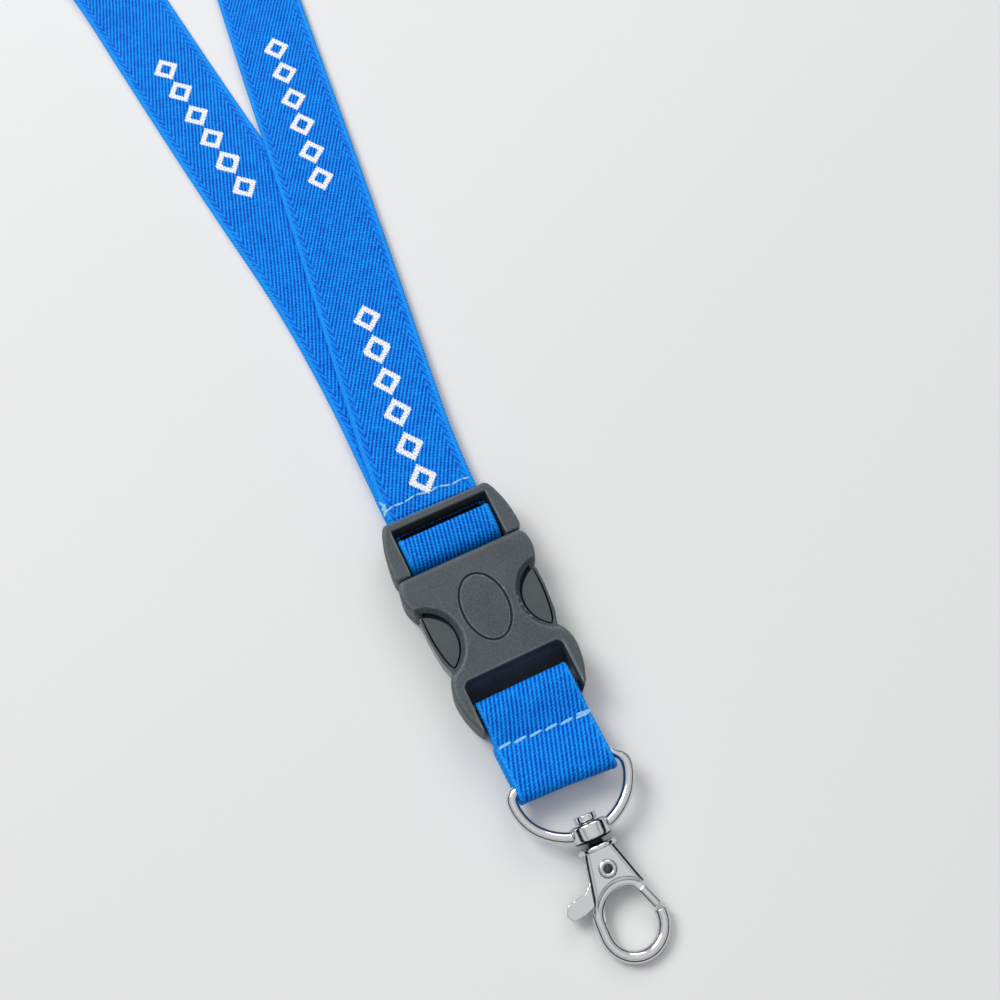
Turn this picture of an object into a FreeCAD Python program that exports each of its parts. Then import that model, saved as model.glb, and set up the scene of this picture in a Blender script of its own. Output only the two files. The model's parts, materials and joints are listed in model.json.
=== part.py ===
"""A lanyard badge holder: a woven neck strap, a side-release buckle and a swivel trigger hook.

The holder lies on a table. +Z is up, +Y points along the strap towards the nape and X runs across
the webbing. The origin is the middle of the buckle socket's flat underside. Sizes are millimetres.
"""
import FreeCAD, Part
import math
import os

V = FreeCAD.Vector
TABLE_GAP = 0.02                  # between lying webbing and the table
LAYER_GAP = 0.05                  # between two layers of webbing
SECTION_TURN = 9.0                # degrees between the sections of the neck strap
SINK = 0.6                        # how far a bar reaches into the wall that it grows from
ARC_SHARE = 0.45                  # of the shorter side that a rounded corner takes up
HALF_RIGHT = math.sqrt(0.5)       # sine and cosine of 45 degrees
X_AXIS, Y_AXIS, Z_AXIS = V(1, 0, 0), V(0, 1, 0), V(0, 0, 1)

SIZES = {
    # webbing
    "strap_wide": 20.0,
    "strap_thick": 1.0,
    "strap_play": 0.1,            # between webbing and the plastic bar it is pulled over
    "upper_bend": 1.0,            # least bend of the webbing in the plug
    "lower_bend": 1.1,            # least bend of the webbing in the lower loop
    "tail_long": 10.0,            # the returned tail past the plug
    # buckle socket, the hollow half
    "socket_tall": 9.0,
    "socket_wall": 1.3,
    "socket_mouth": 14.0,         # from the origin up to the mouth
    "socket_long": 34.3,          # from the mouth to the ears' ends
    "cheek": 2.7,                 # side wall of the shoulders
    "slot_gap": 0.4,              # webbing to the sides of its slots
    "ear_wall": 2.7,
    "cavity_depth": 21.8,         # from the mouth to the cavity's blind end
    "slot_drop": 23.8,            # from the mouth to the strap slot
    "slot_slope": 3.2,            # how far the slot's upper wall slopes in towards the table
    "slot_lip": 2.5,              # height of its straight part
    "socket_bar_deep": 3.4,
    "socket_bar_tall": 3.0,
    "socket_bar_set": 1.8,        # the bar's set-back from the ears' ends
    "window_in": 6.3,             # the side window reaches this far in from its centre
    "window_half": 6.9,           # half the side window's length
    "window_set": 0.7,            # the window's centre in from the shoulders
    "window_drop": 14.3,          # the window's centre below the mouth
    "window_bevel": 1.1,
    "mark_wide": 9.6,             # engraved oval
    "mark_long": 14.6,
    "mark_rise": 2.5,             # its middle above the windows' centres
    "mark_line": 0.4,
    "mark_deep": 0.3,
    "mould_round": 1.0,           # rounding of the moulding's rims
    "corner_round": 1.4,          # rounding of the slot's upright corners
    "bar_round": 1.2,             # rounding of the webbing bars
    # buckle plug, the half with the prongs
    "mating_gap": 0.15,
    "plug_tall": 8.2,
    "plug_foot": 0.4,             # the plug's underside above the table
    "neck_wide": 0.9,             # the two necks that join the block to the rails
    "rail_step": 0.3,             # rails' outer faces in from the shoulders
    "rail_taper": 2.0,            # how far they draw in towards the outer bar
    "frame_long": 12.2,           # from the mouth to the frame's end
    "frame_round": 0.7,
    "outer_bar_round": 0.4,
    "outer_bar_deep": 1.8,
    "outer_bar_tall": 5.2,
    "inner_bar_deep": 3.6,
    "inner_bar_tall": 3.0,
    "inner_bar_rise": 2.6,        # inner bar's underside above the table
    "inner_bar_set": 3.1,         # inner bar from the mouth
    "block_deep": 3.0,
    "fit_gap": 0.2,               # plug block and prongs inside the cavity
    "tongue_wide": 4.4,
    "tongue_long": 15.0,
    "tongue_tall": 3.0,
    "tongue_taper": 0.5,
    "tongue_round": 0.5,
    "prong_root": 1.0,            # radius of the prong's root
    "root_gap": 0.12,
    "prong_set": 1.1,             # root axis in from the block's sides
    "prong_thick": 1.7,
    "prong_round": 0.45,
    "catch_drop": 8.3,            # catch shoulder below the mouth
    "pad_set": 1.45,              # the press pads' outer faces in from the shoulders
    "prong_long": 21.0,           # from the mouth to the prong's tip
    # lower webbing loop
    "lower_narrow": 0.6,          # drawn in by its seam
    "lower_shift": -0.2,          # its middle, to the left of the buckle's
    "fold_play": 0.3,             # webbing fold round the clasp's bar
    "lower_seam_drop": 3.7,       # from the ears' ends to the lower seam
    # swivel clasp
    "clasp_shift": 0.1,
    "clasp_drop": 12.0,           # from the ears' ends to the ring's straight bar
    "clasp_rise": 5.75,           # the straight bar's axis above the table
    "clasp_tilt": 7.0,            # the clasp leans down towards the hook
    "clasp_turn": 2.5,            # and points a little to the left
    "ring_wire": 1.1,             # wire radius
    "ring_gap": 0.6,              # webbing to the D's sides
    "ring_corner": 2.0,
    "ring_depth": 12.3,           # from the straight bar to the bow's foot
    "boss_radius": 3.7,
    "boss_long": 3.4,
    "boss_round": 0.7,
    "boss_set": 11.9,             # middle of the boss from the straight bar
    "post_radius": 1.5,
    "turn_gap": 0.05,             # radial running clearance
    "end_gap": 0.2,               # boss to the post's head
    "collar_gap": 0.8,            # and to the collar, the swivel's play
    "head_radius": 2.2,
    "head_long": 1.2,
    "collar_radius": 3.9,
    "collar_long": 1.2,
    "collar_round": 0.45,
    "plate_top_half": 2.9,
    "plate_foot_half": 6.05,
    "plate_long": 12.0,
    "plate_thick": 4.4,
    "plate_foot_thick": 3.8,
    "eye_half": 4.4,              # half the eye's width
    "eye_long": 11.2,
    "eye_shift": 0.6,             # the eye's middle, to the right of the rivet
    "eye_set": 9.5,               # the eye's top from the swivel boss's foot
    "hook_wire": 1.2,
    "gate_top": 9.9,              # the gate opening's top from the boss's foot
    "gate_long": 5.8,
    "gate_wire": 0.95,
    "lever_slot": 1.7,
    "lever_thick": 1.4,
    "rivet_set": 5.5,             # rivet from the boss's foot
    "rivet_radius": 1.25,
    "rivet_bore": 0.8,
    "rivet_head": 1.85,
    "rivet_head_thick": 0.35,
    "spring_wire": 0.22,
    "spring_radius": 1.85,
    # stitching
    "thread_thick": 0.35,
    "stitch_long": 2.2,
    "stitch_pitch": 2.8,
    "upper_seam_set": 4.8,        # upper seam above the frame's end
}

doc = FreeCAD.newDocument("lanyard_badge_holder")
sheet = doc.addObject("Spreadsheet::Sheet", "Sizes")
for row, (alias, value) in enumerate(SIZES.items(), start=1):
    sheet.set(f"A{row}", alias)
    sheet.set(f"B{row}", str(value))
    sheet.setAlias(f"B{row}", alias)
doc.recompute()

pieces = []


def cell(alias):
    """The number in the sheet's cell of that name."""
    return float(sheet.get(alias))


def bound(kind, name, sizes, at=(0, 0, 0), turn=(Z_AXIS, 0)):
    """A Part primitive whose sizes and place follow the sheet; numbers in at are plain."""
    item = doc.addObject(f"Part::{kind}", name)
    item.Placement = FreeCAD.Placement(V(0, 0, 0), FreeCAD.Rotation(*turn))
    for key, formula in sizes.items():
        item.setExpression(key, formula)
    for key, formula in zip("xyz", at):
        item.setExpression(f"Placement.Base.{key}", str(formula))
    return item


def s(text):
    """Turn words of the sheet in a formula into references to it."""
    for alias in sorted(SIZES, key=len, reverse=True):
        text = text.replace(f"[{alias}]", f"Sizes.{alias}")
    return text


def joined(name, kind, items):
    """A Fuse or Cut of the items in their order."""
    result = items[0]
    for count, item in enumerate(items[1:], start=1):
        step = doc.addObject(f"Part::{kind}", f"{name}_{kind.lower()}_{count}")
        step.Base, step.Tool = result, item
        result = step
    return result


def rims_rounded(disc, name, radius):
    """A Part::Fillet that rounds both rims of a cylinder."""
    doc.recompute()
    rounded = doc.addObject("Part::Fillet", name)
    rounded.Base = disc
    rims = [n for n, edge in enumerate(disc.Shape.Edges, start=1)
            if isinstance(edge.Curve, Part.Circle)]
    rounded.Edges = [(n, radius, radius) for n in rims]
    return rounded


def finish(item, name, placement=None):
    """Give a sub-part its label and place, and list it for export."""
    item.Label = name
    if placement is not None:
        item.Placement = placement
    pieces.append(item)
    return item


def shaped(name, shape, placement=None):
    """A sub-part whose shape is worked out here from the sheet's numbers."""
    item = doc.addObject("Part::Feature", name)
    item.Shape = shape
    return finish(item, name, placement or FreeCAD.Placement())


def prism(points, low, high):
    """The closed outline of (x, y) points, standing from z low to z high."""
    corners = [V(x, y, low) for x, y in points]
    face = Part.Face(Part.makePolygon(corners + corners[:1]))
    return face.extrude(V(0, 0, high - low))


def tangent_arcs(points, share=None, radius=None):
    """Straight runs joined by tangent arcs: [(start, end, middle or None), ...] along the route.

    share gives each arc that part of its shorter run; radius gives all of them one radius.
    """
    edges, here, radii = [], points[0], []
    for before, corner, after in zip(points, points[1:], points[2:]):
        into, out = (corner - before), (after - corner)
        half_turn = into.getAngle(out) / 2
        reach = share * min(into.Length, out.Length) if share else radius * math.tan(half_turn)
        bend = reach / math.tan(half_turn)
        radii.append(bend)
        into.normalize()
        out.normalize()
        start, end = corner - into * reach, corner + out * reach
        inward = out - into
        inward.normalize()
        middle = corner + inward * (bend / math.cos(half_turn) - bend)
        edges += [(here, start, None), (start, end, middle)]
        here = end
    edges.append((here, points[-1], None))
    return edges, radii


def both_sides(points):
    """An outline from its right half, given from the top of the middle plane to its foot."""
    return points + [(-x, y) for x, y in reversed(points)]


def upright(shape):
    return [e for e in shape.Edges if abs(abs(e.tangentAt(e.FirstParameter).z) - 1) < 1e-6]


def level(shape, heights):
    """Edges that lie wholly at one of the heights."""
    found = []
    for edge in shape.Edges:
        box = edge.BoundBox
        if any(abs(box.ZMin - z) < 1e-6 and abs(box.ZMax - z) < 1e-6 for z in heights):
            found.append(edge)
    return found


def rounded_prism(points, low, high, rim):
    """A prism whose corners are arcs as large as they have room for, with rounded rims."""
    corners = [V(x, y, low) for x, y in points]
    middle = (corners[-1] + corners[0]) / 2
    runs, _ = tangent_arcs([middle] + corners + [middle], share=ARC_SHARE)
    sides = []
    for start, end, bulge in runs:
        side = Part.Arc(start, bulge, end) if bulge else Part.LineSegment(start, end)
        sides.append(side.toShape())
    body = Part.Face(Part.Wire(sides)).extrude(V(0, 0, high - low))
    return body.makeFillet(rim, level(body, (low, high)))


def block(x_half, y_low, y_high, z_low, z_high):
    """A box centred on the middle plane."""
    return Part.makeBox(2 * x_half, y_high - y_low, z_high - z_low, V(-x_half, y_low, z_low))


def rod(x_half, y_low, y_high, z_low, z_high, edge):
    """A cross bar along X with its four long edges rounded."""
    bar = block(x_half, y_low, y_high, z_low, z_high)
    along = [e for e in bar.Edges if abs(abs(e.tangentAt(e.FirstParameter).x) - 1) < 1e-6]
    return bar.makeFillet(edge, along)


# ---------------------------------------------------------------- buckle socket
# One hollow moulding: two shoulders that the prongs catch behind, two side windows, and two ears
# with a cross bar for the webbing.
tall, wall = cell("socket_tall"), cell("socket_wall")
mouth = cell("socket_mouth")
slot_half = cell("strap_wide") / 2 + cell("slot_gap")
block_half = slot_half + cell("neck_wide")
cavity_half = block_half + cell("fit_gap")
shoulder = cavity_half + cell("cheek")
ear = slot_half + cell("ear_wall")
ear_end = mouth - cell("socket_long")
window_out, window_in, window_half = shoulder - cell("window_set"), cell("window_in"), cell("window_half")
window_y = mouth - cell("window_drop")
window_top, window_foot = window_y + window_half, window_y - window_half
mould_round, corner_round = cell("mould_round"), cell("corner_round")
bar_round = cell("bar_round")

socket_half_outline = [
    (shoulder - 0.8, mouth),
    (shoulder, mouth - 2.2),
    (shoulder, window_top + 2.6),
    (shoulder - 1.4, window_top - 0.8),
    (ear - 1.9, window_foot + 0.6),
    (ear - 0.4, window_foot - 2.0),
    (ear, window_foot - 4.6),
    (ear - 0.5, ear_end + 4.6),
    (ear - 1.9, ear_end + 1.0),
    (ear - 2.9, ear_end),
]
socket = rounded_prism(both_sides(socket_half_outline), 0, tall, mould_round)


def oval(x, y, z, x_half, y_half):
    """A closed wire: the ellipse with these half sizes."""
    if y_half >= x_half:
        ring = Part.Ellipse(V(x, y + y_half, z), V(x - x_half, y, z), V(x, y, z))
    else:
        ring = Part.Ellipse(V(x + x_half, y, z), V(x, y + y_half, z), V(x, y, z))
    return Part.Wire(ring.toShape())


bevel = cell("window_bevel")
for side in (-1, 1):
    x = side * window_out
    flared, straight = window_in + 2 * bevel, window_in
    socket = socket.cut(Part.makeLoft([
        oval(x, window_y, tall + bevel, flared, window_half + 2 * bevel),
        oval(x, window_y, tall - bevel, straight, window_half),
        oval(x, window_y, bevel, straight, window_half),
        oval(x, window_y, -bevel, flared, window_half + 2 * bevel),
    ], True, True))

cavity_foot = mouth - cell("cavity_depth")
socket = socket.cut(block(cavity_half, cavity_foot, mouth + 1, wall, tall - wall))
slot_edge = mouth - cell("slot_drop")
slot = block(slot_half, ear_end - 1, slot_edge, -1, tall + 1)
slot = slot.makeFillet(corner_round, [e for e in upright(slot) if e.BoundBox.YMin > ear_end])
ramp = [V(-ear, slot_edge + 1, 0), V(-ear, slot_edge - cell("slot_slope"), 0),
        V(-ear, slot_edge + 1, tall - cell("slot_lip"))]
ramp = Part.Face(Part.makePolygon(ramp + ramp[:1])).extrude(V(2 * ear, 0, 0))
slot = slot.cut(ramp)
socket = socket.cut(slot)
bar_low = ear_end + cell("socket_bar_set")
bar_high = bar_low + cell("socket_bar_deep")
bar_foot = (tall - cell("socket_bar_tall")) / 2
bar_top = bar_foot + cell("socket_bar_tall")
socket = socket.fuse(rod(slot_half + SINK, bar_low, bar_high, bar_foot, bar_top, bar_round))

mark_y = window_y + cell("mark_rise")
mark_x_half, mark_y_half, line = cell("mark_wide") / 2, cell("mark_long") / 2, cell("mark_line")
mark_z = tall - cell("mark_deep")
engraved = Part.Face([
    oval(0, mark_y, mark_z, mark_x_half, mark_y_half),
    oval(0, mark_y, mark_z, mark_x_half - line, mark_y_half - line),
])
engraved.validate()
socket = socket.cut(engraved.extrude(V(0, 0, tall)))
shaped("buckle_socket", socket.removeSplitter())

# ---------------------------------------------------------------- buckle plug
# The other half: a frame with two rails, an outer bar that the webbing passes under, an inner bar
# that it is pulled over, and a block in the mouth that carries the prongs and a guide tongue.
frame_foot = mouth + cell("mating_gap")
frame_end = mouth + cell("frame_long")
rail_in, rail_half = slot_half, shoulder - cell("rail_step")
rail_top = rail_half - cell("rail_taper")
plug_foot = cell("plug_foot")
plug_top = plug_foot + cell("plug_tall")
frame_half_outline = [
    (rail_top - 0.6, frame_end + 0.2),
    (rail_top + 0.3, frame_end - 1.2),
    (rail_half - 0.5, frame_end - 5.0),
    (rail_half, frame_foot + 3.0),
    (rail_half, frame_foot),
]
frame_round = cell("frame_round")
plug = rounded_prism(both_sides(frame_half_outline), plug_foot, plug_top, frame_round)
plug = plug.cut(block(rail_in, frame_foot - 1, frame_end + 2, 0, plug_top + 1))

outer_bar_low = frame_end - cell("outer_bar_deep")
outer_bar_foot = plug_top - cell("outer_bar_tall")
plug = plug.fuse(rod(rail_in + SINK, outer_bar_low, frame_end, outer_bar_foot, plug_top,
                     cell("outer_bar_round")))
inner_bar_low = mouth + cell("inner_bar_set")
inner_bar_high = inner_bar_low + cell("inner_bar_deep")
inner_bar_foot = cell("inner_bar_rise")
inner_bar_top = inner_bar_foot + cell("inner_bar_tall")
plug = plug.fuse(rod(rail_in + SINK, inner_bar_low, inner_bar_high, inner_bar_foot, inner_bar_top,
                     bar_round))

fit = cell("fit_gap")
block_low = mouth - cell("block_deep")
block_foot, block_top = wall + fit, tall - wall - fit
plug = plug.fuse(block(block_half, block_low, mouth, block_foot, block_top))
for side in (-1, 1):
    neck_x = rail_in if side > 0 else -block_half
    neck = Part.makeBox(block_half - rail_in, frame_foot + 1 - block_low, block_top - block_foot,
                        V(neck_x, block_low, block_foot))
    plug = plug.fuse(neck)
tongue_tall = cell("tongue_tall")
tongue_foot = (tall - tongue_tall) / 2
tongue_half, tongue_taper = cell("tongue_wide") / 2, cell("tongue_taper")
tongue_round = cell("tongue_round")
tongue = rounded_prism(
    both_sides([(tongue_half, block_low + 2 * tongue_round),
                (tongue_half - tongue_taper, block_low - cell("tongue_long"))]),
    tongue_foot, tongue_foot + tongue_tall, tongue_round)
plug = plug.fuse(tongue)

root_radius, root_gap = cell("prong_root"), cell("root_gap")
root_y = block_low - root_radius / 2
set_x = block_half - cell("prong_set")
for side in (-1, 1):
    pocket = Part.makeCylinder(root_radius + root_gap, tall, V(side * set_x, root_y, 0))
    plug = plug.cut(pocket)
shaped("buckle_plug", plug.removeSplitter())

# ---------------------------------------------------------------- prongs
# Each prong is a springy finger with a catch shoulder and a wide press pad that shows in the
# side window.
half_stem = cell("prong_thick") / 2
catch_y = mouth - cell("catch_drop")
catch_x = shoulder - cell("pad_set")
tip_y = mouth - cell("prong_long")
prong_outline = [
    (set_x - half_stem, root_y),
    (set_x - half_stem, catch_y + 1.2),
    (catch_x - 5.4, catch_y - 2.0),
    (catch_x - 6.0, catch_y - 6.0),
    (catch_x - 5.0, tip_y + 1.8),
    (catch_x - 3.0, tip_y),
    (catch_x - 1.4, tip_y + 0.2),
    (catch_x - 0.5, tip_y + 3.2),
    (catch_x, catch_y - 4.0),
    (catch_x, catch_y),
    (cavity_half - fit * 2, catch_y + 0.5),
    (set_x + half_stem, catch_y + 2.2),
    (set_x + half_stem, root_y),
]
for side, name in ((-1, "prong_left"), (1, "prong_right")):
    prong = prism([(side * x, y) for x, y in prong_outline], block_foot, block_top)
    edges = [e for e in upright(prong) if e.BoundBox.YMax < catch_y + 0.1]
    prong = prong.makeFillet(cell("prong_round"), edges)
    root = Part.makeCylinder(root_radius, block_top - block_foot, V(side * set_x, root_y, block_foot))
    shaped(name, prong.fuse(root).removeSplitter())


# ---------------------------------------------------------------- webbing
def band(points, bend, wide, x_middle=0.0):
    """Webbing laid along a route of (y, z) points in the middle plane, wide across X."""
    half = cell("strap_thick") / 2
    edges, _ = tangent_arcs([V(0, y, z) for y, z in points], radius=bend)
    sides = []
    for hand in (half, -half):
        line = []
        for start, end, middle in edges:
            if middle is None:
                along = (end - start).normalize()
                shift = along.cross(X_AXIS) * hand
                line.append(Part.LineSegment(start + shift, end + shift))
                continue
            centre = Part.Arc(start, middle, end).toShape().Curve.Center
            outward = (start - centre).normalize()
            radius = (start - centre).Length + hand * outward.dot(along.cross(X_AXIS))
            moved = [centre + (point - centre).normalize() * radius
                     for point in (start, middle, end)]
            line.append(Part.Arc(*moved))
        sides.append([piece.toShape() for piece in line])
    left, right = sides
    caps = [
        Part.LineSegment(left[0].Vertexes[0].Point, right[0].Vertexes[0].Point).toShape(),
        Part.LineSegment(left[-1].Vertexes[-1].Point, right[-1].Vertexes[-1].Point).toShape(),
    ]
    outline = Part.Wire(Part.__sortEdges__(left + right + caps))
    face = Part.Face(outline)
    face.translate(V(x_middle - wide / 2, 0, 0))
    return face.extrude(V(wide, 0, 0))


strap_wide, strap_thick = cell("strap_wide"), cell("strap_thick")
half_thick, play = strap_thick / 2, cell("strap_play")
layer = strap_thick + LAYER_GAP                  # one layer of webbing lying on another
first_layer = half_thick + TABLE_GAP             # the middle of webbing that lies on the table
tail_end = frame_end + cell("tail_long")
exit_y = frame_end + 1.7                         # where the neck strap's own solid starts
under_bar = first_layer + 2 * layer
upper_bend, lower_bend = cell("upper_bend"), cell("lower_bend")

# The strap's end goes under the outer bar, over the inner bar and back under itself.
end_route = [
    (exit_y, under_bar),
    (outer_bar_low - 0.4, under_bar),
    (inner_bar_high + half_thick + play, inner_bar_top + half_thick + play),
    (inner_bar_low - half_thick - play, inner_bar_top + half_thick + play),
    (inner_bar_low - half_thick - play, inner_bar_foot - 0.7),
    (inner_bar_low + 1.2, first_layer),
    (tail_end, first_layer),
]
shaped("strap_end_fold", band(end_route, upper_bend, strap_wide))


def smooth(share):
    """A gentle ramp from 0 to 1."""
    share = min(max(share, 0.0), 1.0)
    return share * share * (3 - 2 * share)


# The neck strap's route, (x, y, height of its middle line, roll in degrees). It leaves the buckle
# as the upper leg, turns on edge, goes round the nape and comes back as the lower leg.
STRAP_ROUTE = [
    (0.3, 28.4, 2.65, 0), (0.7, 40, 2.6, 0), (2.7, 56, 2.2, 0), (6.4, 83, 1.65, 0),
    (11.0, 119, 1.65, 0), (15.8, 160, 1.35, 0), (21.5, 204, 0.9, 0), (32, 240, 5.5, 28),
    (44.5, 272, 9.0, 68), (57.5, 303, 10.1, 90), (71.2, 332, 10.1, 90), (71.2, 368, 10.1, 90),
    (53.2, 399.2, 10.1, 90), (22, 417.2, 10.1, 90), (-14, 417.2, 10.1, 90),
    (-45.2, 399.2, 10.1, 90), (-63.2, 368, 10.1, 90), (-63.2, 332, 10.1, 90),
    (-50, 303, 10.1, 90), (-37.5, 271, 9.0, 68), (-25.5, 239, 5.5, 28), (-15.4, 203, 0.9, 0),
    (-10.7, 160, 0.52, 0), (-5.9, 120, 0.52, 0), (-1.4, 88, 0.52, 0), (0.1, 60, 0.6, 0),
    (-0.1, 44, 1.5, 0), (0.0, 31, 1.6, 0),
]


def ribbon(route, wide, thick):
    """Sections of flat webbing along a route in plan, each turned by the route's roll."""
    flat = [V(x, y, 0) for x, y, _, _ in route]
    edges, radii = tangent_arcs(flat, share=ARC_SHARE)
    stations = []                                # (point, heading) along runs and arcs
    for start, end, middle in edges:
        along = (end - start).normalize()
        if middle is None:
            stations += [(start, along), (end, along)]
            continue
        arc = Part.Arc(start, middle, end).toShape()
        steps = max(2, math.ceil(math.degrees(arc.Length / arc.Curve.Radius) / SECTION_TURN))
        for step in range(1, steps):
            at = arc.FirstParameter + (arc.LastParameter - arc.FirstParameter) * step / steps
            way = arc.tangentAt(at)
            stations.append((arc.valueAt(at), way if way.dot(along) > 0 else way * -1))
    lengths = [0.0]                              # each station's distance along the strap
    for (one, _), (other, _) in zip(stations, stations[1:]):
        lengths.append(lengths[-1] + (other - one).Length)
    marks = [lengths[min(range(len(stations)), key=lambda n: (stations[n][0] - corner).Length)]
             for corner in flat]                 # and each route point's
    sections = []
    for (point, along), here in zip(stations, lengths):
        span = max(n for n in range(len(marks) - 1) if marks[n] <= here)
        part = smooth((here - marks[span]) / (marks[span + 1] - marks[span]))
        height = route[span][2] + (route[span + 1][2] - route[span][2]) * part
        roll = math.radians(route[span][3] + (route[span + 1][3] - route[span][3]) * part)
        lowest = wide / 2 * math.sin(roll) + thick / 2 * math.cos(roll) + TABLE_GAP
        across = Z_AXIS.cross(along) * math.cos(roll) + Z_AXIS * math.sin(roll)
        face = along.cross(across)
        middle = point + Z_AXIS * max(height, lowest)
        corners = [middle + across * (wide / 2 * a) + face * (thick / 2 * b)
                   for a, b in ((1, 1), (1, -1), (-1, -1), (-1, 1))]
        sections.append(Part.makePolygon(corners + corners[:1]))
    return sections, radii, lengths[-1]


sections, radii, strap_length = ribbon(STRAP_ROUTE, strap_wide, strap_thick)
print("neck strap length", round(strap_length, 1), "least radius", round(min(radii), 1))
print("radii", [round(r) for r in radii])
third = len(sections) // 3
stretches = {
    "neck_strap_right": sections[:third + 1],
    "neck_strap_nape": sections[third:2 * third + 1],
    "neck_strap_left": sections[2 * third:],
}
for name, stretch in stretches.items():
    shaped(name, Part.makeLoft(stretch, True, True))

# The short lower loop joins the socket's bar to the clasp; three layers meet at its seam.
seam_y = ear_end - cell("lower_seam_drop")
clasp_y, clasp_z = ear_end - cell("clasp_drop"), cell("clasp_rise")
lower_wide = strap_wide - cell("lower_narrow")
fold_bend = cell("ring_wire") + cell("fold_play") + half_thick
fold_y = clasp_y - fold_bend - lower_wide / 2 * math.sin(math.radians(cell("clasp_turn")))
middle_z = (bar_top + bar_foot) / 2 + 0.45
top_z = middle_z + layer
foot_z = middle_z - layer
over_bar, under_socket_bar = bar_top + half_thick + play, bar_foot - half_thick - play
lower_route = [
    (seam_y - 2.5, middle_z),
    (seam_y + 1.5, middle_z),
    (bar_low - 0.6, under_socket_bar),
    (bar_high + half_thick + play, under_socket_bar),
    (bar_high + half_thick + play, over_bar),
    (bar_low - 0.8, over_bar),
    (seam_y + 1.2, top_z),
    (seam_y - 3.0, top_z),
    (clasp_y + 1.2, clasp_z + fold_bend),
    (fold_y, clasp_z + fold_bend),
    (fold_y, clasp_z - fold_bend),
    (clasp_y + 2.2, clasp_z - fold_bend),
    (seam_y - 3.0, foot_z),
    (seam_y + 0.8, foot_z),
]
shaped("lower_strap", band(lower_route, lower_bend, lower_wide, cell("lower_shift")))


# ---------------------------------------------------------------- stitching
def stitches(across_half, y, z, slope):
    """A row of short threads across the webbing, each its own solid."""
    long, pitch, thread = cell("stitch_long"), cell("stitch_pitch"), cell("thread_thick")
    count = int(2 * across_half / pitch)
    row = []
    for number in range(count):
        x = (number - (count - 1) / 2) * pitch
        one = Part.makeBox(long, thread, thread, V(x - long / 2, y + slope * x - thread / 2, z))
        row.append(one)
    return Part.makeCompound(row)


upper_seam_y = frame_end + cell("upper_seam_set")
upper_seam_z = STRAP_ROUTE[0][2] + half_thick + 0.01
shaped("upper_seam", stitches(strap_wide / 2 - 0.5, upper_seam_y, upper_seam_z, -0.01))
shaped("lower_seam", stitches(lower_wide / 2 - 0.5, seam_y, top_z + half_thick + 0.01, -0.06))

# ---------------------------------------------------------------- swivel clasp
# Built in its own frame: the D ring's straight bar on X, the hook hanging down along -Y, and the
# clasp's face up. It is then laid in the lower strap's fold, leaning down to the table.
lean = FreeCAD.Rotation(Z_AXIS, -cell("clasp_turn")).multiply(
    FreeCAD.Rotation(X_AXIS, cell("clasp_tilt")))
clasp_place = FreeCAD.Placement(V(cell("clasp_shift"), clasp_y, clasp_z), lean)
ACROSS, ALONG = (Y_AXIS, 90), (X_AXIS, 90)

ring_corner, ring_wire = cell("ring_corner"), cell("ring_wire")
ring_half = lower_wide / 2 + cell("ring_gap") + ring_wire
ring_fall = cell("ring_depth") - ring_corner
ease = (ring_half - ring_fall) / (4 * HALF_RIGHT - 2)
side_radius, bow_radius = (ring_half + ring_fall) / 2 - ease, (ring_half + ring_fall) / 2 + ease
ring_arcs = [
    (ring_half - ring_corner, -ring_corner, ring_corner, 0, 90),
    (ring_half - side_radius, -ring_corner, side_radius, -45, 0),
    (0, HALF_RIGHT * (bow_radius - side_radius) - ring_corner, bow_radius, 225, 315),
    (side_radius - ring_half, -ring_corner, side_radius, 180, 225),
    (ring_corner - ring_half, -ring_corner, ring_corner, 90, 180),
]
bar_start = V(ring_corner - ring_half, 0, 0)
ring_line = [Part.makeLine(bar_start, V(ring_half - ring_corner, 0, 0))]
ring_line += [Part.makeCircle(radius, V(x, y, 0), Z_AXIS, start, end)
              for x, y, radius, start, end in ring_arcs]
ring_path = Part.Wire(Part.__sortEdges__(ring_line))
ring_section = Part.Wire(Part.makeCircle(ring_wire, bar_start, X_AXIS))
ring = ring_path.makePipeShell([ring_section], True, True)
boss_head_v = cell("boss_set") - cell("boss_long") / 2
boss = Part.makeCylinder(cell("boss_radius"), cell("boss_long"), V(0, -boss_head_v, 0), -Y_AXIS)
boss = boss.makeFillet(cell("boss_round"), [e for e in boss.Edges if e.isClosed()])
bore = Part.makeCylinder(cell("post_radius") + cell("turn_gap"), cell("boss_long") + 4,
                         V(0, 2 - boss_head_v, 0), -Y_AXIS)
shaped("d_ring", ring.fuse(boss).cut(bore), clasp_place)

# Hook: a cast body whose post runs through the boss and is peened over inside the ring.
boss_foot = "([boss_set] + [boss_long] / 2)"
boss_head = "([boss_set] - [boss_long] / 2)"
post = bound("Cylinder", "post", {
    "Radius": s("[post_radius]"),
    "Height": s("[boss_long] + [end_gap] + [collar_gap] + [head_long] / 2 + 1")},
    (0, s(f"-({boss_head} - [end_gap] - [head_long] / 2)"), 0), ALONG)
head = bound("Cylinder", "post_head", {
    "Radius": s("[head_radius]"), "Height": s("[head_long]")},
    (0, s(f"-({boss_head} - [end_gap] - [head_long])"), 0), ALONG)
collar = rims_rounded(bound("Cylinder", "collar_disc", {
    "Radius": s("[collar_radius]"), "Height": s("[collar_long]")},
    (0, s(f"-({boss_foot} + [collar_gap])"), 0), ALONG), "collar", cell("collar_round"))
plate_top = s(f"{boss_foot} + [collar_gap] + [collar_long] - 0.2")
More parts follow.
